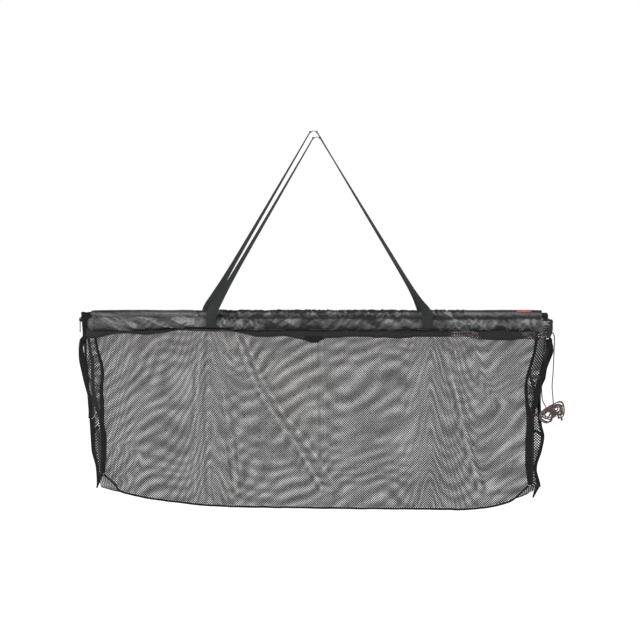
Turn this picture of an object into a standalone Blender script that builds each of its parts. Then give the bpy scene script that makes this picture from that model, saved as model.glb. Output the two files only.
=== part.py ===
"""Carp sack: a hanging mesh retention sling, modelled at rest in metres, +Z up.

The origin is the point where the front carrying strap hangs. X runs along the two
float bars, -Y is the front of the sack and Z is plumb. Each piece is one named object.
"""

import math

import bmesh
import bpy
import numpy as np

# Clearances
GAP = 0.0003            # between pieces that touch
SEAM_GAP = 0.0006       # between fabric edges that meet at an angle
CHANNEL_GAP = 0.0006    # between the draw cord and the hem channel
FLOAT_GAP = 0.0005      # between a float and its sleeve
TAPE_CHAIN_GAP = 0.0008  # between the zip tapes' edges and the chain
WING_GAP = 0.0011       # between a gusset's slanting wing and the tapes beside it

# Float bars and their sleeves
BAR_DROP = 0.4726       # hang point down to the front bar
REAR_RAISE = 0.0150     # the rear side hangs this much higher
BAR_OFFSET = 0.0175     # bar centre to the middle of the sack
SLEEVE_RADIUS = 0.0165
SLEEVE_WALL = 0.0010
FRONT_SLEEVE_ENDS = (-0.5837, 0.5930)
REAR_SLEEVE_ENDS = (-0.5820, 0.5705)
SLEEVE_NOSE = 0.0140    # rounding of a sleeve's closed end
NOSE_SHARE = 0.74       # closed end's radius as a share of the sleeve's
SLEEVE_END_CLOTH = 0.0040
SLEEVE_SIDES = 24
ROD_RADIUS = 0.0060
ROD_BORE = 0.0050
PLUG_RADIUS = 0.0080
PLUG_LENGTH = 0.0160
PLUG_END_WALL = 0.0040
PLUG_CHAMFER = 0.0015
KNOB_RADIUS = 0.0100
KNOB_LENGTH = 0.0330
KNOB_CHAMFER = 0.0035
KNOB_INSIDE = 0.0115    # how far the knob reaches into the sleeve

# Hems with the draw cord's channel
HEM_HALF_LENGTH = 0.5740
HEM_THICKNESS = 0.0060
HEM_HEIGHT = 0.0210
HEM_EDGE_THICKNESS = 0.0030
CHANNEL_RISE = 0.0078   # hem's lower edge up to the channel's centre
CORD_DIAMETER = 0.0030
TAB_WIDTH = 0.0300
TAB_DEPTH = 0.0120      # how far the pointed tab hangs below the hem
TAB_THICKNESS = 0.0012
TAB_SEWN = 0.0160
TAB_SHOULDER = 0.0020
TAB_POINT = 0.0060

# Carrying straps
STRAP_WIDTH = 0.0250
STRAP_THICKNESS = 0.0016
STRAP_FOOT_X = 0.2660
STRAP_FOOT_ABOVE = 0.0180   # foot's upper end above the bar's centre
STRAP_FOOT_BELOW = 0.0090   # sewn end below the bar's centre
STRAP_TOP_RADIUS = 0.0120
STRAP_TOP_Y = 0.0130
STRAP_TWIST_RATE = 0.0700   # share of the leg in which most of the twist happens
STRAP_QUICK_TWIST = 0.7200  # share of the quarter turn that happens there

# Mesh panels
MESH_THICKNESS = 0.0012
PANEL_BULGE = 0.0200
BOTTOM_HALF_GAP = 0.0030
BOTTOM_COLUMNS = 30     # steps along the sack's lower edge
COLUMN_CROWDING = 0.80  # crowds them towards the sack's ends
FINE_STEP = 0.0010
SEAM_HEIGHT = 0.0040
SEAM_THICKNESS = 0.0085
GUSSET_SEAM_HEIGHT = 0.0030
GUSSET_SEAM_THICKNESS = 0.0050
GUSSET_LOW_STEP = 0.0160    # how far a gusset's inner corner may lie below its outer one
SEWN_HALF_GAP = 0.0010      # half the gap in Y where the gusset's wings are sewn together

# Ends of the sack, from the top down: height, where the side binding begins, its width,
# where the gusset's fold lies, the width of the tape on the fold, half the gap in Y.
# The left fold is straight where the zip runs.
LEFT_STATIONS = (
    (-0.4445, 0.5660, 0.0060, 0.60000, 0.0130, 0.0175),
    (-0.4963, 0.5640, 0.0060, 0.59661, 0.0130, 0.0173),
    (-0.5500, 0.5535, 0.0065, 0.59309, 0.0130, 0.0167),
    (-0.5785, 0.5440, 0.0075, 0.59122, 0.0130, 0.0161),
    (-0.6100, 0.5420, 0.0080, 0.58916, 0.0130, 0.0155),
    (-0.6370, 0.5460, 0.0090, 0.58739, 0.0130, 0.0151),
    (-0.6700, 0.5432, 0.0100, 0.58523, 0.0130, 0.0145),
    (-0.7190, 0.5440, 0.0110, 0.58202, 0.0120, 0.0133),
    (-0.7675, 0.5390, 0.0120, 0.57950, 0.0110, 0.0118),
    (-0.8050, 0.5395, 0.0120, 0.57750, 0.0100, 0.0103),
    (-0.8400, 0.5420, 0.0110, 0.56700, 0.0070, 0.0083),
    (-0.8595, 0.5445, 0.0090, 0.56550, 0.0050, 0.0070),
    (-0.9030, 0.5460, 0.0060, 0.56400, 0.0050, 0.0045),
)
RIGHT_STATIONS = (
    (-0.4963, 0.5590, 0.0060, 0.6010, 0.0150, 0.0172),
    (-0.5500, 0.5515, 0.0060, 0.6020, 0.0150, 0.0165),
    (-0.5785, 0.5425, 0.0060, 0.5920, 0.0150, 0.0160),
    (-0.6100, 0.5335, 0.0065, 0.5830, 0.0140, 0.0155),
    (-0.6370, 0.5300, 0.0070, 0.5740, 0.0120, 0.0150),
    (-0.6700, 0.5325, 0.0080, 0.5725, 0.0100, 0.0145),
    (-0.7190, 0.5365, 0.0155, 0.5725, 0.0070, 0.0133),
    (-0.7675, 0.5345, 0.0165, 0.5785, 0.0070, 0.0118),
    (-0.8150, 0.5335, 0.0160, 0.5690, 0.0070, 0.0098),
    (-0.8450, 0.5355, 0.0140, 0.5620, 0.0060, 0.0083),
    (-0.8960, 0.5430, 0.0090, 0.5705, 0.0050, 0.0050),
)
# Lower edge of the mesh panels, from the left corner to the right one
BOTTOM_EDGE = (
    (-0.5170, -0.8874), (-0.4990, -0.9053), (-0.4500, -0.9180), (-0.4050, -0.9257),
    (-0.3300, -0.9350), (-0.2470, -0.9420), (0.0000, -0.9470), (0.3150, -0.9500),
    (0.3660, -0.9510), (0.4195, -0.9480), (0.4600, -0.9410), (0.4960, -0.9300), (0.5190, -0.9115),
)
LEFT_BINDING_END = -0.8595
RIGHT_BINDING_END = -0.8900
LEFT_TAPE_END = -0.8850
RIGHT_TAPE_END = -0.8950
LEFT_WING_LOW = (0.5540, -0.8950)   # lower outer corner of a gusset
RIGHT_WING_LOW = (0.5450, -0.9110)
BINDING_THICKNESS = 0.0022
TAPE_THICKNESS = 0.0014
FOLD_HALF_GAP = 0.0017
TAPE_INNER_GAP = 0.0085     # half gap in Y at a tape's inner edge
CROSS_TAB_Z = -0.7420
CROSS_TAB_HEIGHT = 0.0100
CROSS_TAB_THICKNESS = 0.0012
CROSS_TAB_SPAN = (0.08, 0.92)   # as shares of the gusset's width
LEFT_TIP_POINT = (0.5665, -0.8980)
RIGHT_TIP_POINT = (0.5573, -0.9230)
TIP_THICKNESS = 0.0050
TIP_POINT_WIDTH = 0.0030

# End zip on the left fold
ZIP_TOP = -0.4500
ZIP_BOTTOM = -0.7190
CHAIN_WIDTH = 0.0060
CHAIN_DEPTH = 0.0030
CHAIN_PITCH = 0.0120
CHAIN_NOTCH = 0.0006
STOP_LENGTH = 0.0040
SLIDER_Z = -0.4630
SLIDER_LENGTH = 0.0120
SLIDER_WALL = 0.0018
SLIDER_CLEARANCE = 0.0005
BAIL_REACH = 0.0042
BAIL_THICKNESS = 0.0016
BAIL_BAR = 0.0012
BAIL_HEIGHT = 0.0080
PULLER_WIDTH = 0.0090
PULLER_LENGTH = 0.0330
PULLER_THICKNESS = 0.0016
PULLER_HEAD = 0.0016
PULLER_EYE_HEIGHT = 0.0060
PULLER_EYE_WIDTH = 0.0034
PULLER_WAIST = 0.0063
PULLER_WAIST_DROP = 0.0120

# Covers and trim
END_TAPE_WIDTH = 0.0074
END_TAPE_HEIGHT = 0.0300
END_TAPE_DEPTH = 0.0260
END_TAPE_RISE = 0.0116      # its top above the bar's centre
END_TAPE_TRIM = 0.0015
TAG_X = 0.5110
TAG_LENGTH = 0.0370
TAG_THICKNESS = 0.0006
TAG_ARC = (72.0, 128.0)     # degrees round the sleeve, 90 is the top and 180 the front

# Hank of spare cord, in its own frame: u along the runs, v across, w towards the front
HANK_CENTRE = (0.5945, -0.0185, -0.6940)
HANK_TURN = 5.0             # degrees by which the right lobe points above +X
HANK_BEND = 55.0            # degrees between the two lobes' directions
HANK_STRAIGHT = 0.0072      # half length of the straight waist
HANK_BEND_RUN = 0.0080      # length of the bend on each side of it
HANK_LAYERS = 4
HANK_TURNS = 2              # loops in each layer
HANK_START = 0.8467         # where a loop begins, as a share of a turn from the right tip
HANK_REACH = 0.0205         # innermost loop's half length
HANK_REACH_STEP = 0.0039
HANK_BREADTH = 0.0074
HANK_BREADTH_STEP = 0.0088
HANK_WAIST = 0.45
HANK_SWELL = 1.50
HANK_LAYER_STEP = 0.0036
LOOP_POINTS = 24
LEAD_IN = ((0.0118, 0.0200), (0.0110, 0.0140), (0.0100, 0.0070), (0.0092, 0.0010), (0.0108, -0.0064))
LEAD_LIFT = 0.0044
HANK_TAIL = ((0.0200, -0.0142, 0.0004), (0.0232, -0.0175, 0.0010), (0.0240, -0.0220, 0.0014))
WRAP_TURNS = 3.25
WRAP_ACROSS = 0.0152        # wraps' half size across the waist
WRAP_THROUGH = 0.0093       # and through it
WRAP_SQUARE = 6.0
WRAP_STEP = 0.0037
WRAP_TAIL = ((0.0010, -0.0070, 0.0004), (0.0022, -0.0120, 0.0009), (0.0032, -0.0170, 0.0010))
KNOT_RADIUS = 0.0032

FRONT_BAR = (-BAR_OFFSET, -BAR_DROP)
REAR_BAR = (BAR_OFFSET, -BAR_DROP + REAR_RAISE)
CORD_RADIUS = CORD_DIAMETER / 2
FLOAT_RADIUS = SLEEVE_RADIUS - SLEEVE_WALL - FLOAT_GAP


def clear_scene():
    for item in list(bpy.data.objects):
        bpy.data.objects.remove(item, do_unlink=True)


def finish_material(name, colour, roughness, metallic=0.0):
    """A Principled material with a linear colour."""
    made = bpy.data.materials.new(name)
    made.use_nodes = True
    shader = made.node_tree.nodes["Principled BSDF"]
    shader.inputs["Base Color"].default_value = (*colour, 1.0)
    shader.inputs["Roughness"].default_value = roughness
    shader.inputs["Metallic"].default_value = metallic
    made.diffuse_color = (*colour, 1.0)
    return made


def add_object(name, mesh, finish, angle=40.0):
    mesh.materials.append(finish)
    mesh.shade_smooth()
    mesh.set_sharp_from_angle(angle=math.radians(angle))
    placed = bpy.data.objects.new(name, mesh)
    bpy.context.scene.collection.objects.link(placed)
    return placed


def mesh_from(name, points, faces):
    mesh = bpy.data.meshes.new(name)
    mesh.from_pydata([tuple(p) for p in points], [], faces)
    shape = bmesh.new()
    shape.from_mesh(mesh)
    bmesh.ops.recalc_face_normals(shape, faces=shape.faces)
    shape.to_mesh(mesh)
    shape.free()
    return mesh


def loft(name, rings, finish, angle=40.0):
    """A closed body through rings of equal count, capped at both ends."""
    count = len(rings[0])
    points = [p for ring in rings for p in ring]
    faces = []
    for row in range(len(rings) - 1):
        for k in range(count):
            a = row * count + k
            b = row * count + (k + 1) % count
            faces.append((a, b, b + count, a + count))
    faces.append(tuple(range(count)))
    faces.append(tuple(range(len(points) - count, len(points))))
    return add_object(name, mesh_from(name, points, faces), finish, angle)


def hollow_loft(name, outer, inner, finish, closed_start=False, closed_end=False):
    """A tube between outer and inner rings; a closed end leaves a blind bore."""
    count = len(outer[0])
    points = [p for ring in outer for p in ring] + [p for ring in inner for p in ring]
    shift = len(outer) * count
    faces = []
    for base, rings in ((0, outer), (shift, inner)):
        for row in range(len(rings) - 1):
            for k in range(count):
                a = base + row * count + k
                b = base + row * count + (k + 1) % count
                faces.append((a, b, b + count, a + count))
    last_outer = shift - count
    last_inner = len(points) - count
    for closed, out_row, in_row in (
        (closed_start, 0, shift),
        (closed_end, last_outer, last_inner),
    ):
        if closed:
            faces.append(tuple(range(out_row, out_row + count)))
            faces.append(tuple(range(in_row, in_row + count)))
            continue
        for k in range(count):
            n = (k + 1) % count
            faces.append((out_row + k, out_row + n, in_row + n, in_row + k))
    return add_object(name, mesh_from(name, points, faces), finish)


def sheet(name, rows, thickness, finish, angle=40.0):
    """A closed body of even thickness about a grid of points."""
    across = len(rows[0])
    points = [p for row in rows for p in row]
    faces = []
    for r in range(len(rows) - 1):
        for c in range(across - 1):
            a = r * across + c
            faces.append((a, a + 1, a + 1 + across, a + across))
    placed = add_object(name, mesh_from(name, points, faces), finish, angle)
    solid = placed.modifiers.new("Thickness", "SOLIDIFY")
    solid.thickness = thickness
    solid.offset = 0.0
    solid.use_even_offset = True
    return placed


def circle_x(x, centre, radius, sides=SLEEVE_SIDES):
    """A ring about a bar, in the plane X = x."""
    ring = []
    for k in range(sides):
        turn = 2 * math.pi * k / sides
        ring.append((x, centre[0] + radius * math.cos(turn), centre[1] + radius * math.sin(turn)))
    return ring


def slab(name, corners_xz, y_low, y_high, finish):
    """A flat outline in X and Z, extruded along Y."""
    rings = [[(x, y, z) for x, z in corners_xz] for y in (y_low, y_high)]
    return loft(name, rings, finish)


def join_solids(target, other):
    """Fuses other into target and removes it."""
    fuse = target.modifiers.new("Fuse", "BOOLEAN")
    fuse.operation = "UNION"
    fuse.solver = "EXACT"
    fuse.object = other
    depsgraph = bpy.context.evaluated_depsgraph_get()
    joined = bpy.data.meshes.new_from_object(target.evaluated_get(depsgraph))
    target.modifiers.clear()
    target.data = joined
    bpy.data.objects.remove(other, do_unlink=True)


def smooth_route(route, step):
    """Points spaced evenly along a Catmull-Rom curve through a route's own points."""
    knots = [np.array(p, dtype=float) for p in route]
    padded = [2 * knots[0] - knots[1], *knots, 2 * knots[-1] - knots[-2]]
    fine = []
    for k in range(1, len(padded) - 2):
        before, here, after, beyond = padded[k - 1 : k + 3]
        for share in np.linspace(0.0, 1.0, 40, endpoint=False):
            fine.append(
                0.5
                * (
                    2 * here
                    + (after - before) * share
                    + (2 * before - 5 * here + 4 * after - beyond) * share**2
                    + (3 * here - before - 3 * after + beyond) * share**3
                )
            )
    fine.append(knots[-1])
    fine = np.array(fine)
    run = np.concatenate([[0.0], np.cumsum(np.linalg.norm(np.diff(fine, axis=0), axis=1))])
    count = max(2, round(run[-1] / step) + 1)
    wanted = np.linspace(0.0, run[-1], count)
    return [tuple(np.interp(s, run, fine[:, axis]) for axis in range(3)) for s in wanted]


def cord_tube(name, points, finish, resolution=2):
    """A round cord along points, as a bevelled curve with filled caps."""
    curve = bpy.data.curves.new(name, "CURVE")
    curve.dimensions = "3D"
    spline = curve.splines.new("POLY")
    spline.points.add(len(points) - 1)
    for spot, place in zip(spline.points, points):
        spot.co = (*place, 1.0)
    curve.bevel_depth = CORD_RADIUS
    curve.bevel_resolution = resolution
    curve.use_fill_caps = True
    curve.materials.append(finish)
    placed = bpy.data.objects.new(name, curve)
    bpy.context.scene.collection.objects.link(placed)
    return placed


def station(z, column, hand):
    """A value of the left or right end stations at height z."""
    rows = LEFT_STATIONS if hand < 0 else RIGHT_STATIONS
    return float(np.interp(-z, [-row[0] for row in rows], [row[column] for row in rows]))


def binding_x(z, hand):
    return station(z, 1, hand)


def binding_width(z, hand):
    return station(z, 2, hand)


def fold_x(z, hand):
    return station(z, 3, hand)


def tape_width(z, hand):
    return station(z, 4, hand)


def edge_gap(z, hand):
    return station(z, 5, hand)


def levels(top, low, hand):
    """Heights from top to low, with every end station between them and each middle."""
    rows = LEFT_STATIONS if hand < 0 else RIGHT_STATIONS
    marks = [top, *[row[0] for row in rows if low + GAP < row[0] < top - GAP], low]
    heights = []
    for above, below in zip(marks, marks[1:]):
        heights += [above, (above + below) / 2]
    return [*heights, low]


def tape_gap(z, hand):
    """Half the gap in Y at a tape's inner edge."""
    return min(TAPE_INNER_GAP, edge_gap(z, hand) * 0.7)


def binding_end(hand):
    return LEFT_BINDING_END if hand < 0 else RIGHT_BINDING_END


def tape_end(hand):
    return LEFT_TAPE_END if hand < 0 else RIGHT_TAPE_END


def bottom_points():
    """The panels' lower edge as X and Z, from the end of the left binding to the right one."""
    left = -binding_x(LEFT_BINDING_END, -1) + SEAM_GAP
    right = binding_x(RIGHT_BINDING_END, 1) - SEAM_GAP
    route = [(left, 0.0, LEFT_BINDING_END)]
    route += [(x, 0.0, z) for x, z in BOTTOM_EDGE]
    route += [(right, 0.0, RIGHT_BINDING_END)]
    fine = smooth_route(route, FINE_STEP)
    line = []
    for k in range(BOTTOM_COLUMNS + 1):
        share = k / BOTTOM_COLUMNS
        crowded = share - COLUMN_CROWDING * math.sin(2 * math.pi * share) / (2 * math.pi)
        x, _, z = fine[round(crowded * (len(fine) - 1))]
        line.append((x, z))
    return line


def bottom_z(x):
    line = bottom_points()
    return float(np.interp(x, [p[0] for p in line], [p[1] for p in line]))


def offset_bottom(distance):
    """The lower edge moved outwards by a distance, point by point."""
    line = [np.array(p) for p in bottom_points()]
    moved = []
    for k, spot in enumerate(line):
        along = line[min(k + 1, len(line) - 1)] - line[max(k - 1, 0)]
        away = np.array((along[1], -along[0])) / np.linalg.norm(along)
        moved.append(spot + away * distance)
    return moved


def hem_top(bar):
    return bar[1] - SLEEVE_RADIUS - GAP


def hem_bottom(bar):
    return hem_top(bar) - HEM_HEIGHT


def channel_z(bar):
    return hem_bottom(bar) + CHANNEL_RISE


def make_sleeve(name, bar, ends, finish):
    """Fabric tube over a float: closed and rounded at the left, open at the right."""
    inner_radius = SLEEVE_RADIUS - SLEEVE_WALL
    left, right = ends
    outer = []
    for share in (0.0, 0.35, 0.7, 1.0):
        radius = SLEEVE_RADIUS * (NOSE_SHARE + (1 - NOSE_SHARE) * math.sin(share * math.pi / 2))
        outer.append(circle_x(left + SLEEVE_NOSE * share, bar, radius))
    outer.append(circle_x(right, bar, SLEEVE_RADIUS))
    inner = [
        circle_x(left + SLEEVE_END_CLOTH, bar, inner_radius * NOSE_SHARE),
        circle_x(left + SLEEVE_NOSE + SLEEVE_END_CLOTH, bar, inner_radius),
        circle_x(right, bar, inner_radius),
    ]
    return hollow_loft(name, outer, inner, finish, closed_start=True)


def make_float(name, bar, left, right, finish):
    """Buoyant foam bar with a bore for its rod."""
    bore = ROD_RADIUS + GAP
    ends = (left, right)
    outer = [circle_x(x, bar, FLOAT_RADIUS) for x in ends]
    inner = [circle_x(x, bar, bore) for x in ends]
    return hollow_loft(name, outer, inner, finish)


def make_rod(name, bar, left, right, finish):
    outer = [circle_x(x, bar, ROD_RADIUS, 16) for x in (left, right)]
    inner = [circle_x(x, bar, ROD_BORE, 16) for x in (left, right)]
    return hollow_loft(name, outer, inner, finish)


def make_cap(name, bar, open_x, end_x, radius, chamfer, finish):
    """A cap over a rod's end, open towards open_x and solid at end_x."""
    way = math.copysign(1.0, end_x - open_x)
    socket = ROD_RADIUS + GAP
    outer = [
        circle_x(open_x, bar, radius),
        circle_x(end_x - way * chamfer, bar, radius),
        circle_x(end_x, bar, radius - chamfer),
    ]
    inner = [circle_x(open_x, bar, socket), circle_x(end_x - way * PLUG_END_WALL, bar, socket)]
    return hollow_loft(name, outer, inner, finish, closed_end=True)


def make_front_bar(foam, alloy, plastic):
    left, right = FRONT_SLEEVE_ENDS
    plug_left = left + SLEEVE_END_CLOTH + GAP
    plug_right = right - GAP
    make_cap("front_rod_plug_left", FRONT_BAR, plug_left + PLUG_LENGTH, plug_left,
             PLUG_RADIUS, PLUG_CHAMFER, plastic)
    make_cap("front_rod_plug_right", FRONT_BAR, plug_right - PLUG_LENGTH, plug_right,
             PLUG_RADIUS, PLUG_CHAMFER, plastic)
    make_float("front_float", FRONT_BAR, plug_left + PLUG_LENGTH + GAP,
               plug_right - PLUG_LENGTH - GAP, foam)
    make_rod("front_rod", FRONT_BAR, plug_left + PLUG_END_WALL + GAP,
             plug_right - PLUG_END_WALL - GAP, alloy)


def make_rear_bar(foam, alloy, plastic):
    left, right = REAR_SLEEVE_ENDS
    plug_left = left + SLEEVE_END_CLOTH + GAP
    knob_inner = right - KNOB_INSIDE
    knob_outer = knob_inner + KNOB_LENGTH
    make_cap("rear_rod_plug", REAR_BAR, plug_left + PLUG_LENGTH, plug_left,
             PLUG_RADIUS, PLUG_CHAMFER, plastic)
    make_cap("rear_end_knob", REAR_BAR, knob_inner, knob_outer, KNOB_RADIUS,
             KNOB_CHAMFER, plastic)
    make_float("rear_float", REAR_BAR, plug_left + PLUG_LENGTH + GAP, knob_inner - GAP, foam)
    make_rod("rear_rod", REAR_BAR, plug_left + PLUG_END_WALL + GAP,
             knob_outer - PLUG_END_WALL - GAP, alloy)


def make_hem(name, bar, finish):
    """Folded mesh band under a sleeve, with a round channel for the draw cord."""
    middle_y = bar[0]
    top = hem_top(bar)
    bottom = hem_bottom(bar)
    channel = channel_z(bar)
    half = HEM_THICKNESS / 2
    pinch = HEM_EDGE_THICKNESS / 2
    outline = (
        (half, channel), (half, channel + half), (pinch, top - half), (pinch, top),
        (-pinch, top), (-pinch, top - half), (-half, channel + half), (-half, channel),
        (-half, channel - half), (-pinch, bottom), (pinch, bottom), (half, channel - half),
    )
    radius = CORD_RADIUS + CHANNEL_GAP
    outer = []
    inner = []
    for x in (-HEM_HALF_LENGTH, HEM_HALF_LENGTH):
        outer.append([(x, middle_y + y, z) for y, z in outline])
        ring = []
        for y, z in outline:
            turn = math.atan2(z - channel, y)
            ring.append((x, middle_y + radius * math.cos(turn), channel + radius * math.sin(turn)))
        inner.append(ring)
    return hollow_loft(name, outer, inner, finish)


def make_hem_cord(name, bar, finish):
    """The draw cord where the hem holds it."""
    z = channel_z(bar)
    count = 80
    points = []
    for k in range(count):
        points.append((HEM_HALF_LENGTH * (2 * k / (count - 1) - 1), bar[0], z))
    return cord_tube(name, points, finish)


def make_hem_tab(finish):
    """Pointed tab on the middle of the front hem."""
    face = FRONT_BAR[0] - HEM_THICKNESS / 2 - GAP
    low = hem_bottom(FRONT_BAR)
    half = TAB_WIDTH / 2
    outline = (
        (-half, low + TAB_SEWN), (half, low + TAB_SEWN), (half, low + TAB_SHOULDER),
        (TAB_POINT / 2, low - TAB_DEPTH), (-TAB_POINT / 2, low - TAB_DEPTH),
        (-half, low + TAB_SHOULDER),
    )
    return slab("hem_tab", outline, face - TAB_THICKNESS, face, finish)


def strap_route(bar, side):
    """Centre line of a strap from its left foot over the top to its right foot."""
    foot_y = bar[0] + side * (SLEEVE_RADIUS + GAP + STRAP_THICKNESS / 2)
    top_y = side * STRAP_TOP_Y
    raised = bar[1] + BAR_DROP
    centre_z = raised + STRAP_THICKNESS / 2 - STRAP_TOP_RADIUS
    foot_top = bar[1] + STRAP_FOOT_ABOVE
    foot_low = bar[1] - STRAP_FOOT_BELOW
    rise = centre_z - foot_top
    reach = math.hypot(STRAP_FOOT_X, rise)
    lean = math.atan2(STRAP_FOOT_X, rise) - math.asin(STRAP_TOP_RADIUS / reach)
    half = []
    for share in (0.0, 0.5, 0.9):
        half.append((STRAP_FOOT_X, foot_y, foot_low + share * (foot_top - foot_low), 0.0))
    touch_x = STRAP_TOP_RADIUS * math.cos(lean)
    touch_z = centre_z + STRAP_TOP_RADIUS * math.sin(lean)
    for share in (0.02, 0.05, 0.08, 0.12, 0.17, 0.23, 0.3, 0.4, 0.5, 0.6, 0.7, 0.8, 0.9, 1.0):
        x = STRAP_FOOT_X + share * (touch_x - STRAP_FOOT_X)
        z = foot_top + share * (touch_z - foot_top)
        quick = 1 - math.exp(-share / STRAP_TWIST_RATE)
        twist = STRAP_QUICK_TWIST * quick + (1 - STRAP_QUICK_TWIST) * share
        half.append((x, foot_y + share * (top_y - foot_y), z, twist * math.pi / 2))
    steps = 3
    for k in range(1, steps + 1):
        turn = lean + (math.pi / 2 - lean) * k / steps
        x = STRAP_TOP_RADIUS * math.cos(turn)
        z = centre_z + STRAP_TOP_RADIUS * math.sin(turn)
        half.append((max(x, 0.0), top_y, z, math.pi / 2))
    left = [(-x, y, z, twist) for x, y, z, twist in half]
    return left + [(x, y, z, twist) for x, y, z, twist in reversed(half[:-1])]


def make_strap(name, bar, side, finish):
    """Webbing handle: flat on the sleeve, twisted a quarter turn up to its top."""
    route = strap_route(bar, side)
    places = np.array([row[:3] for row in route])
    rings = []
    for k, (x, y, z, twist) in enumerate(route):
        ahead = places[min(k + 1, len(route) - 1)] - places[max(k - 1, 0)]
        along = ahead / np.linalg.norm(ahead)
        depth = np.array((0.0, 1.0, 0.0))
        depth = depth - along * depth.dot(along)
        depth = depth / np.linalg.norm(depth)
        flat = np.cross(along, depth)
        wide = flat * math.cos(twist) + depth * math.sin(twist)
        thin = np.cross(along, wide)
        spot = np.array((x, y, z))
        ring = []
        for a, b in ((1, 1), (-1, 1), (-1, -1), (1, -1)):
            ring.append(spot + wide * a * STRAP_WIDTH / 2 + thin * b * STRAP_THICKNESS / 2)
        rings.append(ring)
    return loft(name, rings, finish, 30.0)


def panel_depth(x, z, top, low):
    """Half depth of the sack at a point of a mesh panel."""
    down = (top - z) / (top - low)
    hand = math.copysign(1, x)
    across = abs(x) / binding_x(z, hand)
    edge = edge_gap(z, hand) + (BOTTOM_HALF_GAP - edge_gap(z, hand)) * down**6 * (1 - across**4)
    return edge + PANEL_BULGE * math.sin(math.pi * down) * (1 - across**4)


def make_panel(name, bar, side, finish):
    """One mesh wall of the sack, bulged outwards between its seams."""
    top = hem_bottom(bar) - GAP
    left_heights = levels(top, LEFT_BINDING_END, -1)
    right_heights = levels(top, RIGHT_BINDING_END, 1)
    edge = bottom_points()
    rows = []
    for left_z, right_z in zip(left_heights, right_heights):
        left_down = (top - left_z) / (top - LEFT_BINDING_END)
        right_down = (top - right_z) / (top - RIGHT_BINDING_END)
        row = []
        for k, (low_x, low_z) in enumerate(edge):
            share = k / (len(edge) - 1)
            down = left_down + share * (right_down - left_down)
            hand = math.copysign(1, low_x)
            z = top + (low_z - top) * down
            part = low_x / (binding_x(low_z, hand) - SEAM_GAP)
            x = part * (binding_x(z, hand) - SEAM_GAP)
            row.append((x, side * panel_depth(x, z, top, low_z), z))
        rows.append(row)
    return sheet(name, rows, MESH_THICKNESS, finish)


def make_bottom_seam(finish):
    """Narrow tape that joins both panels along the bottom."""
    half = SEAM_THICKNESS / 2
    near = SEAM_GAP + MESH_THICKNESS / 2
    rings = []
    for start, end in zip(offset_bottom(near), offset_bottom(near + SEAM_HEIGHT)):
        rings.append([
            (start[0], -half, start[1]), (start[0], half, start[1]),
            (end[0], half * 0.6, end[1]), (end[0], -half * 0.6, end[1]),
        ])
    return loft("bottom_seam", rings, finish)


def make_binding(name, hand, side, top, finish):
    """Tape over the edge where a panel meets an end gusset."""
    rows = []
    for z in levels(top, binding_end(hand), hand):
        y = side * edge_gap(z, hand)
        start = binding_x(z, hand) + GAP
        end = binding_x(z, hand) + binding_width(z, hand)
        rows.append([(hand * start, y, z), (hand * end, y, z)])
    return sheet(name, rows, BINDING_THICKNESS, finish)


def wing_point(z, share, side, hand):
    """A point of a gusset's wing: share 0 at the binding, 1 at the tape's inner edge."""
    start = binding_x(z, hand) + binding_width(z, hand) + WING_GAP
    end = fold_x(z, hand) - tape_width(z, hand) - WING_GAP
    x = start + share * (end - start)
    y = edge_gap(z, hand) + share * (tape_gap(z, hand) - edge_gap(z, hand))
    return (hand * x, side * y, z)


def corner_points(hand):
    """A gusset's lower inner edge, just outside the bottom seam, from the binding down."""
    line = offset_bottom(MESH_THICKNESS / 2 + SEAM_HEIGHT + SEAM_GAP + WING_GAP)
    if hand > 0:
        line = line[::-1]
    low = LEFT_WING_LOW if hand < 0 else RIGHT_WING_LOW
    inner = [(hand * spot[0], spot[1]) for spot in line]
    return [spot for spot in inner[1:] if spot[0] > 0 and spot[1] > low[1] - GUSSET_LOW_STEP]


def make_wing(name, hand, side, top, finish):
    """One half of an end gusset, from the panel's binding out to the tape on the fold."""
    end = binding_end(hand)
    rows = []
    for z in levels(top, end, hand):
        rows.append([wing_point(z, share, side, hand) for share in (0.0, 0.5, 1.0)])
    low = LEFT_WING_LOW if hand < 0 else RIGHT_WING_LOW
    corner = corner_points(hand)
    for k, (inner_x, inner_z) in enumerate(corner):
        share = (k + 1) / len(corner)
        outer_z = end + share * (low[1] - end)
        tape_z = max(outer_z, tape_end(hand))
        limit = fold_x(tape_z, hand) - tape_width(tape_z, hand) - WING_GAP
        outer_x = min(limit, limit + share**2 * (low[0] - limit))
        y = side * (edge_gap(outer_z, hand) + share * (SEWN_HALF_GAP - edge_gap(outer_z, hand)))
        row = []
        for part in (0.0, 0.5, 1.0):
            x = inner_x + part * (outer_x - inner_x)
            row.append((hand * x, y, inner_z + part * (outer_z - inner_z)))
        rows.append(row)
    return sheet(name, rows, MESH_THICKNESS, finish)


def make_gusset_seam(name, hand, finish):
    """Tape over the sewn lower edges of a gusset's two wings."""
    inner = np.array(corner_points(hand)[-1])
    outer = np.array(LEFT_WING_LOW if hand < 0 else RIGHT_WING_LOW)
    along = (outer - inner) / np.linalg.norm(outer - inner)
    away = np.array((along[1], -along[0]))
    half = GUSSET_SEAM_THICKNESS / 2
    rings = []
    for spot in (inner + along * SEAM_GAP, (inner + outer) / 2, outer - along * SEAM_GAP):
        start = spot + away * SEAM_GAP
        end = start + away * GUSSET_SEAM_HEIGHT
        rings.append([
            (hand * start[0], -half, start[1]), (hand * start[0], half, start[1]),
            (hand * end[0], half, end[1]), (hand * end[0], -half, end[1]),
        ])
    return loft(name, rings, finish)


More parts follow.
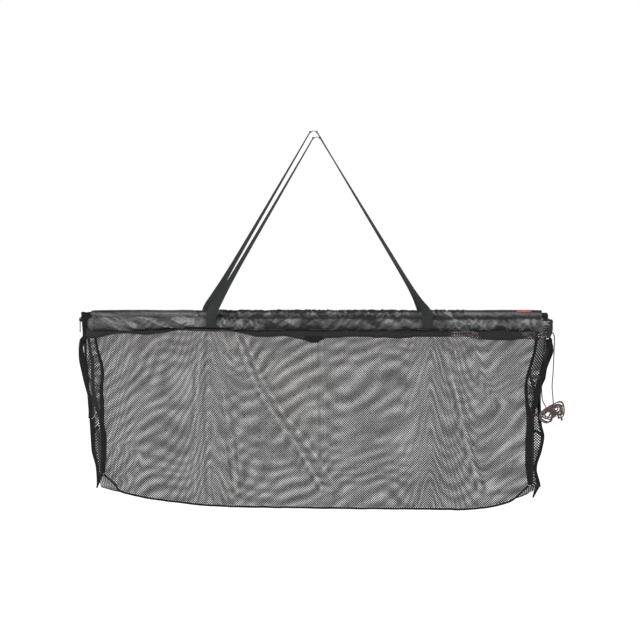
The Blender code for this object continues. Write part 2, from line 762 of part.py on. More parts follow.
def make_zip_tape(name, side, finish):
    """Zip tape along one side of the left fold, up to its cut end beside the sleeves."""
    rows = []
    for z in levels(LEFT_STATIONS[0][0], ZIP_BOTTOM, -1):
        start = fold_x(z, -1) - tape_width(z, -1)
        end = fold_x(z, -1) - CHAIN_DEPTH / 2 - TAPE_CHAIN_GAP
        rows.append([(-start, side * tape_gap(z, -1), z), (-end, side * FOLD_HALF_GAP, z)])
    return sheet(name, rows, TAPE_THICKNESS, finish)


def make_fold_tape(name, hand, top, finish):
    """Tape folded round a gusset's fold."""
    rows = []
    for z in levels(top, tape_end(hand), hand):
        start = hand * (fold_x(z, hand) - tape_width(z, hand))
        end = hand * (fold_x(z, hand) - FOLD_HALF_GAP)
        gap = tape_gap(z, hand)
        row = [(start, -gap, z), (end, -FOLD_HALF_GAP, z), (hand * fold_x(z, hand), 0.0, z),
               (end, FOLD_HALF_GAP, z), (start, gap, z)]
        rows.append(row)
    return sheet(name, rows, TAPE_THICKNESS, finish)


def make_cross_tab(name, hand, finish):
    """Short bar of tape across the front of a gusset."""
    lift = MESH_THICKNESS / 2 + SEAM_GAP + GAP + CROSS_TAB_THICKNESS / 2
    rows = []
    for z in (CROSS_TAB_Z + CROSS_TAB_HEIGHT / 2, CROSS_TAB_Z - CROSS_TAB_HEIGHT / 2):
        row = []
        for share in CROSS_TAB_SPAN:
            x, y, _ = wing_point(z, share, -1, hand)
            row.append((x, y - lift, z))
        rows.append(row)
    return sheet(name, rows, CROSS_TAB_THICKNESS, finish)


def make_tip(name, hand, finish):
    """Folded ends of the tapes at a lower corner."""
    top = tape_end(hand) - SEAM_GAP
    outer = fold_x(top, hand)
    inner = outer - tape_width(top, hand)
    point, low = LEFT_TIP_POINT if hand < 0 else RIGHT_TIP_POINT
    outline = ((inner, top), (outer, top), (point, low), (point - TIP_POINT_WIDTH, low))
    flipped = [(hand * x, z) for x, z in outline]
    return slab(name, flipped, -TIP_THICKNESS / 2, TIP_THICKNESS / 2, finish)


def along_fold(z):
    """The left fold's place at a height."""
    return -fold_x(z, -1)


def make_chain(finish):
    """The closed zip chain on the left fold, notched along its outer face."""
    count = round((ZIP_TOP - ZIP_BOTTOM) / CHAIN_PITCH)
    half = CHAIN_WIDTH / 2
    rings = []
    for k in range(count + 1):
        for shift, notch in ((0.0, CHAIN_NOTCH), (CHAIN_PITCH / 2, 0.0)):
            z = ZIP_TOP - k * (ZIP_TOP - ZIP_BOTTOM) / count - shift
            if z < ZIP_BOTTOM - GAP:
                continue
            x = along_fold(z)
            outer = x - CHAIN_DEPTH / 2 + notch
            inner = x + CHAIN_DEPTH / 2
            rings.append([(outer, -half, z), (outer, half, z), (inner, half, z), (inner, -half, z)])
    return loft("left_zip_chain", rings, finish)


def make_stop(name, high, low, finish):
    half = CHAIN_WIDTH / 2
    rings = []
    for z in (high, low):
        x = along_fold(z)
        outer = x - CHAIN_DEPTH / 2
        inner = x + CHAIN_DEPTH / 2
        rings.append([(outer, -half, z), (outer, half, z), (inner, half, z), (inner, -half, z)])
    return loft(name, rings, finish)


def make_slider(metal):
    """Zip slider: a channel round the chain, with a bail on its outer face."""
    arm_in = CHAIN_WIDTH / 2 + SLIDER_CLEARANCE
    arm_out = arm_in + SLIDER_WALL
    back_in = CHAIN_DEPTH / 2 + SLIDER_CLEARANCE
    back_out = back_in + SLIDER_WALL
    arm_end = CHAIN_DEPTH / 2
    rings = []
    for z in (SLIDER_Z + SLIDER_LENGTH / 2, SLIDER_Z - SLIDER_LENGTH / 2):
        x = along_fold(z)
        rings.append([
            (x - back_out, -arm_out, z), (x - back_out, arm_out, z),
            (x + arm_end, arm_out, z), (x + arm_end, arm_in, z),
            (x - back_in, arm_in, z), (x - back_in, -arm_in, z),
            (x + arm_end, -arm_in, z), (x + arm_end, -arm_out, z),
        ])
    body = loft("left_zip_slider", rings, metal)
    root = along_fold(SLIDER_Z) - back_out + SLIDER_WALL / 2
    face = root - SLIDER_WALL / 2
    high = SLIDER_Z + BAIL_HEIGHT / 2
    low = SLIDER_Z - BAIL_HEIGHT / 2
    outline = (
        (root, high), (face - BAIL_REACH, high), (face - BAIL_REACH, low), (root, low),
        (root, low + BAIL_BAR), (face - BAIL_REACH + BAIL_BAR, low + BAIL_BAR),
        (face - BAIL_REACH + BAIL_BAR, high - BAIL_BAR), (root, high - BAIL_BAR),
    )
    bail = slab("bail", outline, -BAIL_THICKNESS / 2, BAIL_THICKNESS / 2, metal)
    join_solids(body, bail)
    return body


def puller_axis():
    """X and Z of the line that the puller swings about."""
    back_out = CHAIN_DEPTH / 2 + SLIDER_CLEARANCE + SLIDER_WALL
    window = BAIL_REACH - BAIL_BAR
    return along_fold(SLIDER_Z) - back_out - window / 2, SLIDER_Z


def make_puller(metal):
    """Zip puller: a flat tab with an eye round the slider's bail, its origin on the pin."""
    x, z = puller_axis()
    half = PULLER_WIDTH / 2
    waist = PULLER_WAIST / 2
    eye = PULLER_EYE_WIDTH / 2
    thin = PULLER_THICKNESS / 2
    head = PULLER_HEAD / 2
    eye_low = -head - PULLER_EYE_HEIGHT
    corner = eye / 2
    outer = [
        (-half, head), (half, head), (half, eye_low), (waist, -PULLER_WAIST_DROP),
        (half, -PULLER_LENGTH), (-half, -PULLER_LENGTH), (-waist, -PULLER_WAIST_DROP), (-half, eye_low),
    ]
    inner = [
        (-eye, -head), (eye, -head), (eye, (eye_low - head) / 2), (eye, eye_low + corner),
        (corner, eye_low), (-corner, eye_low), (-eye, eye_low + corner), (-eye, (eye_low - head) / 2),
    ]
    rings_out = [[(sx, y, h) for y, h in outer] for sx in (-thin, thin)]
    rings_in = [[(sx, y, h) for y, h in inner] for sx in (-thin, thin)]
    tab = hollow_loft("left_zip_puller", rings_out, rings_in, metal)
    tab.location = (x, 0.0, z)
    return tab


def make_end_tape(finish):
    """Folded webbing that closes the front sleeve's right end."""
    start = FRONT_SLEEVE_ENDS[1] + GAP
    centre = FRONT_BAR
    top = centre[1] + END_TAPE_RISE
    low = top - END_TAPE_HEIGHT
    half = END_TAPE_DEPTH / 2
    end = start + END_TAPE_WIDTH
    rings = []
    for x, trim in ((start, 0.0), (end - END_TAPE_TRIM, 0.0), (end, END_TAPE_TRIM)):
        rings.append([
            (x, centre[0] - half + trim, low + trim), (x, centre[0] + half - trim, low + trim),
            (x, centre[0] + half - trim, top - trim), (x, centre[0] - half + trim, top - trim),
        ])
    return loft("right_end_tape", rings, finish)


def make_tag(finish):
    """Bare fabric tag over the top of the rear sleeve."""
    inner = SLEEVE_RADIUS + GAP
    outer = inner + TAG_THICKNESS
    first, last = TAG_ARC
    turns = [math.radians(a) for a in np.linspace(first, last, 7)]
    rings = []
    for x in (TAG_X, TAG_X + TAG_LENGTH):
        ring = [(x, REAR_BAR[0] + outer * math.cos(t), REAR_BAR[1] + outer * math.sin(t)) for t in turns]
        back = [(x, REAR_BAR[0] + inner * math.cos(t), REAR_BAR[1] + inner * math.sin(t)) for t in turns]
        rings.append(ring + back[::-1])
    return loft("red_tag", rings, finish)


def hank_place(u, v, w):
    """From the hank's own frame, bent at its waist, to the world."""
    start = math.radians(HANK_TURN)
    bend = math.radians(HANK_BEND) / 2
    middle = start + bend
    size = abs(u)
    way = math.copysign(1.0, u)
    in_bend = min(max(size - HANK_STRAIGHT, 0.0), HANK_BEND_RUN)
    beyond = max(size - HANK_STRAIGHT - HANK_BEND_RUN, 0.0)
    turned = bend * in_bend / HANK_BEND_RUN
    rate = HANK_BEND_RUN / bend
    forward = min(size, HANK_STRAIGHT) + rate * math.sin(turned) + beyond * math.cos(turned)
    aside = rate * (1 - math.cos(turned)) + beyond * math.sin(turned)
    lean = -way * turned
    local_u = way * forward + v * -math.sin(lean)
    local_v = -aside + v * math.cos(lean)
    x = HANK_CENTRE[0] + local_u * math.cos(middle) - local_v * math.sin(middle)
    z = HANK_CENTRE[2] + local_u * math.sin(middle) + local_v * math.cos(middle)
    return (x, HANK_CENTRE[1] - w, z)


def loop_point(turn):
    """The loops' centre line after a count of turns, spiralling in and out by layers."""
    layer = min(int(turn / HANK_TURNS), HANK_LAYERS - 1)
    inside = turn - layer * HANK_TURNS
    ring = HANK_TURNS - inside if layer % 2 == 0 else inside
    climb = 0.0
    until_next = HANK_TURNS - inside
    if layer < HANK_LAYERS - 1 and until_next < 0.25:
        climb = 0.5 - until_next * 2
    if layer > 0 and inside < 0.25:
        climb = inside * 2 - 0.5
    phase = 2 * math.pi * (turn + HANK_START)
    reach = HANK_REACH + ring * HANK_REACH_STEP
    breadth = HANK_BREADTH + ring * HANK_BREADTH_STEP
    swell = HANK_WAIST + (1 - HANK_WAIST) * HANK_SWELL * math.cos(phase) ** 2
    w = (layer + climb - (HANK_LAYERS - 1) / 2) * HANK_LAYER_STEP
    lift = LEAD_LIFT * max(0.0, 1 - turn / 0.2)
    return (reach * math.cos(phase), breadth * math.sin(phase) * swell, w - lift)


def hank_local():
    """The whole hank in its own frame: the lead-in behind the runs, the loops and the tail."""
    loops = [loop_point(k / LOOP_POINTS) for k in range(HANK_LAYERS * HANK_TURNS * LOOP_POINTS + 1)]
    back = loops[0][2]
    lead = [(u, v, back) for u, v in LEAD_IN]
    lead = smooth_route([*lead, loops[0]], CORD_DIAMETER * 1.3)[:-1]
    end = loops[-1]
    tail = smooth_route([end, *[(u, v, end[2] + w) for u, v, w in HANK_TAIL]], CORD_DIAMETER * 1.3)
    return lead + loops + tail[1:]


def least_gap(points):
    """Least clear distance of a tube to itself, away from its own neighbourhood."""
    line = np.array(points)
    steps = np.linalg.norm(np.diff(line, axis=0), axis=1)
    run = np.concatenate([[0.0], np.cumsum(steps)])
    fine_run = np.arange(0.0, run[-1], CORD_DIAMETER / 6)
    fine = np.stack([np.interp(fine_run, run, line[:, a]) for a in range(3)], axis=1)
    least = 1.0
    for k in range(len(fine)):
        far = fine_run > fine_run[k] + 4 * CORD_DIAMETER
        if far.any():
            least = min(least, float(np.linalg.norm(fine[far] - fine[k], axis=1).min()))
    return least - CORD_DIAMETER


def straight_ends(points, length):
    """Adds a straight run before the first point and after the last."""
    line = [np.array(p) for p in points]
    first = line[0] - line[1]
    last = line[-1] - line[-2]
    start = line[0] + first / np.linalg.norm(first) * length
    end = line[-1] + last / np.linalg.norm(last) * length
    return [tuple(start), *points, tuple(end)]


def hank_points():
    return straight_ends([hank_place(*p) for p in hank_local()], CORD_DIAMETER)


def wrap_points():
    """Turns of the second cord round the hank's waist, with a short tail."""
    points = []
    steps = round(WRAP_TURNS * LOOP_POINTS)
    for k in range(steps + 1):
        turn = 2 * math.pi * k / LOOP_POINTS
        c = math.cos(turn)
        s = math.sin(turn)
        size = (abs(c) ** WRAP_SQUARE + abs(s) ** WRAP_SQUARE) ** (-1 / WRAP_SQUARE)
        u = WRAP_STEP * (k - steps / 2) / LOOP_POINTS
        points.append((u, WRAP_ACROSS * size * c, WRAP_THROUGH * size * s))
    end = points[-1]
    tail = [end, *[(end[0] + u, end[1] + v, end[2] + w) for u, v, w in WRAP_TAIL]]
    points += smooth_route(tail, CORD_DIAMETER * 1.3)[1:]
    return straight_ends([hank_place(*p) for p in points], CORD_DIAMETER)


def make_knot(name, before, end, finish):
    """Stopper knot past a cord's end: a short turned body with a flat face to the cord."""
    end = np.array(end)
    along = end - np.array(before)
    along = along / np.linalg.norm(along)
    start = end + along * GAP
    across = np.cross(along, (0.0, 0.0, 1.0))
    across = across / np.linalg.norm(across)
    other = np.cross(along, across)
    rings = []
    length = 2.2 * KNOT_RADIUS
    for share, size in ((0.0, 0.55), (0.15, 0.85), (0.4, 1.0), (0.6, 1.0), (0.85, 0.8), (1.0, 0.4)):
        ring = []
        for k in range(12):
            turn = 2 * math.pi * k / 12
            radius = KNOT_RADIUS * size
            ring.append(start + along * length * share
                        + across * radius * math.cos(turn) + other * radius * math.sin(turn))
        rings.append(ring)
    return loft(name, rings, finish)


def meeting_route(route, wound):
    """A free stretch, square to the hem cord at its start and to a wound cord at its end."""
    first = np.array(wound[0])
    back = first - np.array(wound[1])
    back = back / np.linalg.norm(back)
    straight = first + back * CORD_DIAMETER
    points = leaving_route([*route, tuple(straight)])
    return [*points, tuple(first + back * GAP)]


def leaving_route(route):
    """A free stretch whose first run leaves a hem along X."""
    start = np.array(route[0])
    way = math.copysign(CORD_DIAMETER, start[0])
    clear = tuple(start + np.array((way, 0.0, 0.0)))
    return [route[0], *smooth_route([clear, *route[1:]], 2.3 * CORD_DIAMETER)]


def both_hems_route(route):
    """A free stretch from one hem's end to the other's, square to both."""
    last = np.array(route[-1])
    clear = tuple(last + np.array((math.copysign(CORD_DIAMETER, last[0]), 0.0, 0.0)))
    return [*leaving_route([*route[:-1], clear]), route[-1]]


def make_cords(cord):
    """The draw cord's free stretches at both ends, its hank, wraps and knots."""
    front_z = channel_z(FRONT_BAR)
    rear_z = channel_z(REAR_BAR)
    end_x = HEM_HALF_LENGTH + GAP
    left_route = (
        (-end_x, -BAR_OFFSET, front_z), (-0.5850, -0.0170, -0.5030), (-0.5960, -0.0155, -0.5075),
        (-0.6040, -0.0120, -0.5220), (-0.6066, -0.0070, -0.5400), (-0.6066, -0.0005, -0.5530),
        (-0.6055, 0.0070, -0.5560), (-0.6020, 0.0140, -0.5450), (-0.5965, 0.0180, -0.5220),
        (-0.5900, 0.0185, -0.5000), (-0.5820, 0.0180, -0.4895), (-end_x, BAR_OFFSET, rear_z),
    )
    cord_tube("cord_left_arc", both_hems_route(left_route), cord)
    loops = hank_points()
    print("hank least gap to itself in mm:", round(1000 * least_gap(loops), 2))
    cord_tube("cord_hank", loops, cord, 1)
    drop_route = (
        (end_x, -BAR_OFFSET, front_z), (0.5830, -0.0165, -0.4990), (0.5930, -0.0140, -0.4958),
        (0.6020, -0.0125, -0.4975), (0.6060, -0.0120, -0.5080), (0.6060, -0.0120, -0.5250),
        (0.6050, -0.0120, -0.5600), (0.6035, -0.0115, -0.6000), (0.6015, -0.0100, -0.6350),
    )
    cord_tube("cord_drop", meeting_route(drop_route, loops), cord)
    wraps = wrap_points()
    print("wrap least gap to itself in mm:", round(1000 * least_gap(wraps), 2))
    cord_tube("cord_wrap", wraps, cord, 1)
    return_route = (
        (end_x, BAR_OFFSET, rear_z), (0.5800, 0.0178, -0.4900), (0.5835, 0.0180, -0.4970),
        (0.5845, 0.0180, -0.5200), (0.5815, 0.0165, -0.5600), (0.5775, 0.0140, -0.6000),
        (0.5762, 0.0090, -0.6300), (0.5765, 0.0030, -0.6550), (0.5785, -0.0050, -0.6720),
    )
    cord_tube("cord_return", meeting_route(return_route, wraps), cord)
    make_knot("cord_knot_front", loops[-2], loops[-1], cord)
    make_knot("cord_knot_rear", wraps[-2], wraps[-1], cord)


def build():
    clear_scene()
    cloth = finish_material("coated_cloth", (0.110, 0.112, 0.122), 0.42)
    webbing = finish_material("webbing", (0.030, 0.031, 0.033), 0.80)
    binding = finish_material("binding", (0.016, 0.016, 0.016), 0.85)
    net = finish_material("net", (0.045, 0.044, 0.043), 0.75)
    hem_net = finish_material("hem_net", (0.020, 0.020, 0.021), 0.80)
    foam = finish_material("foam", (0.200, 0.200, 0.200), 0.90)
    alloy = finish_material("alloy", (0.600, 0.610, 0.620), 0.35, 1.0)
    plastic = finish_material("plastic", (0.010, 0.010, 0.010), 0.50)
    cord = finish_material("cord", (0.110, 0.055, 0.055), 0.80)
    red = finish_material("red_cord", (0.180, 0.020, 0.030), 0.80)
    tag = finish_material("tag", (0.740, 0.160, 0.130), 0.70)
    metal = finish_material("zip_metal", (0.030, 0.030, 0.030), 0.40, 0.7)

    make_sleeve("front_sleeve", FRONT_BAR, FRONT_SLEEVE_ENDS, cloth)
    make_sleeve("rear_sleeve", REAR_BAR, REAR_SLEEVE_ENDS, cloth)
    make_front_bar(foam, alloy, plastic)
    make_rear_bar(foam, alloy, plastic)
    for word, bar, side in (("front", FRONT_BAR, -1), ("rear", REAR_BAR, 1)):
        make_hem(word + "_hem", bar, hem_net)
        make_hem_cord(word + "_hem_cord", bar, red)
        make_strap(word + "_strap", bar, side, webbing)
        make_panel(word + "_mesh", bar, side, net)
        top = hem_bottom(bar) - GAP
        for hand_word, hand in (("left", -1), ("right", 1)):
            prefix = hand_word + "_" + word
            make_binding(prefix + "_binding", hand, side, top, binding)
            make_wing(prefix + "_gusset", hand, side, top, net)
        make_zip_tape("left_" + word + "_zip_tape", side, binding)
    make_fold_tape("left_fold_tape", -1, ZIP_BOTTOM - GAP, binding)
    make_fold_tape("right_fold_tape", 1, hem_bottom(FRONT_BAR) - GAP, binding)
    make_hem_tab(binding)
    make_bottom_seam(binding)
    for hand_word, hand in (("left", -1), ("right", 1)):
        make_cross_tab(hand_word + "_cross_tab", hand, binding)
        make_tip(hand_word + "_corner_tip", hand, binding)
        make_gusset_seam(hand_word + "_gusset_seam", hand, binding)
    make_chain(plastic)
    make_stop("left_zip_top_stop", ZIP_TOP + GAP + STOP_LENGTH, ZIP_TOP + GAP, metal)
    make_slider(metal)
    make_puller(metal)
    make_end_tape(webbing)
    make_tag(tag)
    make_cords(cord)


build()
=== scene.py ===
"""Looks of the carp sack: camera, light, cloth, net, webbing and cord around the CAD frame.

Everything is in metres in the CAD model's frame. X runs along the float bars, -Y is the
front, +Z is up, and the origin is where the front strap hangs.
"""

import math

import bpy
import numpy as np
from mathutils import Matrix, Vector


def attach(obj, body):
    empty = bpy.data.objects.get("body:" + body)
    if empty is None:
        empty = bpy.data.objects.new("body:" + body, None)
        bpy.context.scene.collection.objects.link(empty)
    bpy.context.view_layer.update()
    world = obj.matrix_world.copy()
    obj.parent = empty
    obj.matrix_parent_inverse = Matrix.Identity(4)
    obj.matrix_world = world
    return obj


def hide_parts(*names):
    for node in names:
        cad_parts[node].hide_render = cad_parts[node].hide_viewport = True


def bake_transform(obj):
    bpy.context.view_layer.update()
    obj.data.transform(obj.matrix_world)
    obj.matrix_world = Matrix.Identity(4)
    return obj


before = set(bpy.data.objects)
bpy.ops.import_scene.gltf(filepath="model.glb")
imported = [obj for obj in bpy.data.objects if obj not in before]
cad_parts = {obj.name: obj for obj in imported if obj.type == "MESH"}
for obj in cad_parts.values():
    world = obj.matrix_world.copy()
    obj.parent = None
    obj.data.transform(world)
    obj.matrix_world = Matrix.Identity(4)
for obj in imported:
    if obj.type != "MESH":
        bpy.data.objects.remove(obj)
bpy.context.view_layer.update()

# Sizes shared with the CAD model
FRONT_BAR = (-0.0175, -0.4726)
REAR_BAR = (0.0175, -0.4576)
SLEEVE_RADIUS = 0.0165
HEM_HALF = 0.5740
HEM_HEIGHT = 0.0210
CHANNEL_RISE = 0.0078
CORD_DIAMETER = 0.0030
CORD_RADIUS = CORD_DIAMETER / 2
GAP = 0.0003
FRONT_SLEEVE_ENDS = (-0.5837, 0.5930)
REAR_SLEEVE_ENDS = (-0.5820, 0.5705)
FLOAT_RADIUS = 0.0150
STRAP_WIDTH = 0.0250
STRAP_THICKNESS = 0.0016
PANEL_BULGE = 0.0200
BOTTOM_HALF_GAP = 0.0030

# The ends by height: the walls' edge, the edge tapes' width, the fold, the fold tape's width
# and half the gap between the walls' edges
LEFT_STATIONS = (
    (-0.4445, 0.5660, 0.0060, 0.60000, 0.0130, 0.0175),
    (-0.4963, 0.5640, 0.0060, 0.59661, 0.0130, 0.0173),
    (-0.5500, 0.5535, 0.0065, 0.59309, 0.0130, 0.0167),
    (-0.5785, 0.5440, 0.0075, 0.59122, 0.0130, 0.0161),
    (-0.6100, 0.5420, 0.0080, 0.58916, 0.0130, 0.0155),
    (-0.6370, 0.5460, 0.0090, 0.58739, 0.0130, 0.0151),
    (-0.6700, 0.5432, 0.0100, 0.58523, 0.0130, 0.0145),
    (-0.7190, 0.5440, 0.0110, 0.58202, 0.0120, 0.0133),
    (-0.7675, 0.5390, 0.0120, 0.57950, 0.0110, 0.0118),
    (-0.8050, 0.5395, 0.0120, 0.57750, 0.0100, 0.0103),
    (-0.8400, 0.5420, 0.0110, 0.56700, 0.0070, 0.0083),
    (-0.8595, 0.5445, 0.0090, 0.56550, 0.0050, 0.0070),
    (-0.9030, 0.5460, 0.0060, 0.56400, 0.0050, 0.0045),
)
RIGHT_STATIONS = (
    (-0.4963, 0.5590, 0.0060, 0.6010, 0.0150, 0.0172),
    (-0.5500, 0.5515, 0.0060, 0.6020, 0.0150, 0.0165),
    (-0.5785, 0.5425, 0.0060, 0.5920, 0.0150, 0.0160),
    (-0.6100, 0.5335, 0.0065, 0.5830, 0.0140, 0.0155),
    (-0.6370, 0.5300, 0.0070, 0.5740, 0.0120, 0.0150),
    (-0.6700, 0.5325, 0.0080, 0.5725, 0.0100, 0.0145),
    (-0.7190, 0.5365, 0.0155, 0.5725, 0.0070, 0.0133),
    (-0.7675, 0.5345, 0.0165, 0.5785, 0.0070, 0.0118),
    (-0.8150, 0.5335, 0.0160, 0.5690, 0.0070, 0.0098),
    (-0.8450, 0.5355, 0.0140, 0.5620, 0.0060, 0.0083),
    (-0.8960, 0.5430, 0.0090, 0.5705, 0.0050, 0.0050),
)
BOTTOM_EDGE = (
    (-0.5170, -0.8874), (-0.4990, -0.9053), (-0.4500, -0.9180), (-0.4050, -0.9257),
    (-0.3300, -0.9350), (-0.2470, -0.9420), (0.0000, -0.9470), (0.3150, -0.9500),
    (0.3660, -0.9510), (0.4195, -0.9480), (0.4600, -0.9410), (0.4960, -0.9300), (0.5190, -0.9115),
)
BINDING_END = {-1: -0.8595, 1: -0.8900}
TAPE_END = {-1: -0.8850, 1: -0.8950}
WING_LOW = {-1: (0.5540, -0.8950), 1: (0.5450, -0.9110)}
TIP_POINT = {-1: (0.5665, -0.8980), 1: (0.5573, -0.9230)}
ZIP_TOP = -0.4500
ZIP_BOTTOM = -0.7190

# Sizes that only the looks have
CORD_STEP = CORD_DIAMETER * 0.8     # between the points of a cord's line
TAIL_STEP = CORD_DIAMETER * 1.3     # between the points of the ends of its windings
TAPE_THICKNESS = 0.0012
EDGE_TAPE_THICKNESS = 0.0016
FOLD_HALF = 0.0017              # from the middle of an end's fold to its tape's two sides
CROSS_HALF = 0.0036             # half a cross tab's height
SLEEVE_NOSE = 0.0140            # length of a sleeve's rounded left end
REAR_SLEEVE_EXTRA = 0.0045      # how far the rear sleeve's cloth goes past its right end
GATHER_DROP = 0.0040            # how far the front sleeve's gathered end hangs below its bar
HEM_LEAST = 0.0045              # least height of a hem
BOX_STITCH_HALF = 0.0090        # the crossed boxes of stitches on the straps' feet
BOX_STITCH_LOW = -0.0065
BOX_STITCH_TOP = 0.0120
FLOOR = -1.45

# The picture's camera
TARGET = np.array((0.0084, 0.0, -0.4651))
DISTANCE = 6.0
ELEVATION = math.radians(5.0)
LENS = 132.19
SENSOR = 36.0
FRAME_PIXELS = 640
FOCAL_PIXELS = LENS / SENSOR * FRAME_PIXELS

PICTURE_SCALE = 0.002553    # metres to a pixel, in the plane of the hang point
PICTURE_ZERO = (316.7, 138.4)   # where the hang point lies in the picture

EYE = TARGET + DISTANCE * np.array((0.0, -math.cos(ELEVATION), math.sin(ELEVATION)))
LOOK = (TARGET - EYE) / DISTANCE
UP = np.array((0.0, math.sin(ELEVATION), math.cos(ELEVATION)))


def xyz(x, y, z):
    """Points from their three coordinates, of which each may be one number for all."""
    return np.stack(np.broadcast_arrays(x, y, z), axis=-1)


def at_pixel(px, py, y):
    """X and Z of the point at depth y that the camera sees at a place in its picture."""
    half = FRAME_PIXELS / 2
    ray = LOOK + UP * (half - py) / FOCAL_PIXELS
    ray = ray + np.array((1.0, 0.0, 0.0)) * (px - half) / FOCAL_PIXELS
    run = (y - EYE[1]) / ray[1]
    spot = EYE + ray * run
    return float(spot[0]), float(spot[2])


def seen_place(x, y, z):
    """Where a point lies across and down the sack as it is seen from the front, in metres."""
    away = xyz(x, y, z) - EYE
    depth = away @ LOOK
    return away[..., 0] / depth * DISTANCE, -(away @ UP) / depth * DISTANCE


def picture_x(px):
    """X at a place across the picture, in the plane of the hang point."""
    return (px - PICTURE_ZERO[0]) * PICTURE_SCALE


def picture_place(x, z):
    """The place in the picture of a point in the plane of the hang point."""
    return PICTURE_ZERO[0] + x / PICTURE_SCALE, PICTURE_ZERO[1] - z / PICTURE_SCALE


def make_camera():
    lens = bpy.data.cameras.new("camera")
    lens.lens = LENS
    lens.sensor_width = SENSOR
    camera = bpy.data.objects.new("camera", lens)
    bpy.context.scene.collection.objects.link(camera)
    camera.location = Vector(EYE)
    camera.rotation_mode = "QUATERNION"
    camera.rotation_quaternion = Vector(LOOK).to_track_quat("-Z", "Y")
    bpy.context.scene.camera = camera


# Numbers that vary over a surface


def lattice(ix, iy, seed):
    value = np.sin(ix * 127.1 + iy * 311.7 + seed * 74.7) * 43758.5453
    return value - np.floor(value)


def noise(x, y, seed):
    """Smooth noise from -1 to 1 over a plane."""
    x = np.asarray(x, dtype=float)
    y = np.asarray(y, dtype=float)
    ix = np.floor(x)
    iy = np.floor(y)
    fx = x - ix
    fy = y - iy
    sx = fx * fx * fx * (fx * (fx * 6 - 15) + 10)
    sy = fy * fy * fy * (fy * (fy * 6 - 15) + 10)
    low = lattice(ix, iy, seed) * (1 - sx) + lattice(ix + 1, iy, seed) * sx
    high = lattice(ix, iy + 1, seed) * (1 - sx) + lattice(ix + 1, iy + 1, seed) * sx
    return 2 * (low * (1 - sy) + high * sy) - 1


def layered(x, y, seed):
    """Three layers of noise, each half as large and half as strong as the last."""
    return sum(noise(x * 2**k, y * 2**k, seed + 17.3 * k) / 2**k for k in range(3)) / 1.75


def smooth_step(value, low, high):
    share = np.clip((np.asarray(value, dtype=float) - low) / (high - low), 0.0, 1.0)
    return share * share * (3 - 2 * share)


def zone(x, low, high, soft=0.02):
    """1 between two places, 0 beyond them."""
    return smooth_step(x, low - soft, low + soft) * (1 - smooth_step(x, high - soft, high + soft))


def squared(value, power):
    """A sine or cosine that is drawn out, so that a ring of them has squarer corners."""
    return math.copysign(abs(value) ** power, value)


def read_table(place, rows):
    """The value at a place in a table of pairs, with straight lines between them."""
    places, values = np.array(sorted(rows), dtype=float).T
    return np.interp(place, places, values)


def rounded(values, reach, spread):
    """Evenly spaced values with their corners rounded by a bell curve."""
    weights = np.exp(-0.5 * (np.arange(-reach, reach + 1) / spread) ** 2)
    return np.convolve(np.pad(values, reach, mode="edge"), weights / weights.sum(), mode="valid")


def run_along(line):
    """The distance of each point of a line from its start."""
    return np.concatenate([[0.0], np.cumsum(np.linalg.norm(np.diff(line, axis=0), axis=1))])


def directions(line):
    along = np.gradient(line, axis=0)
    return along / np.linalg.norm(along, axis=1)[:, None]


def smooth_route(route, step):
    """Points spaced evenly along a Catmull-Rom curve through a route's own points."""
    knots = [np.array(p, dtype=float) for p in route]
    padded = [2 * knots[0] - knots[1], *knots, 2 * knots[-1] - knots[-2]]
    fine = []
    for k in range(1, len(padded) - 2):
        before, here, after, beyond = padded[k - 1 : k + 3]
        for share in np.linspace(0.0, 1.0, 40, endpoint=False):
            fine.append(0.5 * (
                2 * here + (after - before) * share
                + (2 * before - 5 * here + 4 * after - beyond) * share**2
                + (3 * here - before - 3 * after + beyond) * share**3
            ))
    fine.append(knots[-1])
    return evenly(np.array(fine), step)


def evenly(line, step):
    line = np.asarray(line, dtype=float)
    run = run_along(line)
    count = max(2, round(run[-1] / step) + 1)
    wanted = np.linspace(0.0, run[-1], count)
    return np.stack([np.interp(wanted, run, column) for column in line.T], axis=1)


def edge_at(z, spots):
    """X of a line of descending points at given heights."""
    return np.interp(-z, -spots[:, 1], spots[:, 0])


def picture_edge(spots, y, step=0.003):
    """A smooth line through places in the picture, at a depth, as X and Z."""
    return smooth_route([at_pixel(px, py, y) for px, py in spots], step)


# Meshes


def add_mesh(name, points, faces, look, cloth=None, smooth=40.0):
    """An object from arrays, with the cloth's own coordinates in metres as an attribute."""
    mesh = bpy.data.meshes.new(name)
    mesh.from_pydata(np.asarray(points, dtype=float).reshape(-1, 3).tolist(), [], faces)
    mesh.materials.append(look)
    if cloth is not None:
        layer = mesh.attributes.new("cloth", "FLOAT_VECTOR", "POINT")
        layer.data.foreach_set("vector", np.asarray(cloth, dtype=np.float32).ravel())
    mesh.validate()
    mesh.shade_smooth()
    if smooth < 180:
        mesh.set_sharp_from_angle(angle=math.radians(smooth))
    made = bpy.data.objects.new(name, mesh)
    bpy.context.scene.collection.objects.link(made)
    return made


def grid_faces(rows, columns, wrap=False):
    faces = []
    for r in range(rows - 1):
        for c in range(columns if wrap else columns - 1):
            n = (c + 1) % columns
            faces.append((r * columns + c, r * columns + n, (r + 1) * columns + n, (r + 1) * columns + c))
    return faces


def closed_faces(rows, columns):
    """Faces round a row of rings, with both ends closed."""
    count = rows * columns
    ends = [tuple(range(columns))[::-1], tuple(range(count - columns, count))]
    return grid_faces(rows, columns, wrap=True) + ends


def tube_frames(line):
    """Two cross directions at each point of a line, turned as little as possible."""
    along = directions(line)
    start = np.array((0.0, 0.0, 1.0)) if abs(along[0][2]) < 0.9 else np.array((0.0, 1.0, 0.0))
    sides = [start]
    for way in along:
        side = sides[-1] - way * sides[-1].dot(way)
        sides.append(side / np.linalg.norm(side))
    sides = np.array(sides[1:])
    return sides, np.cross(along, sides)


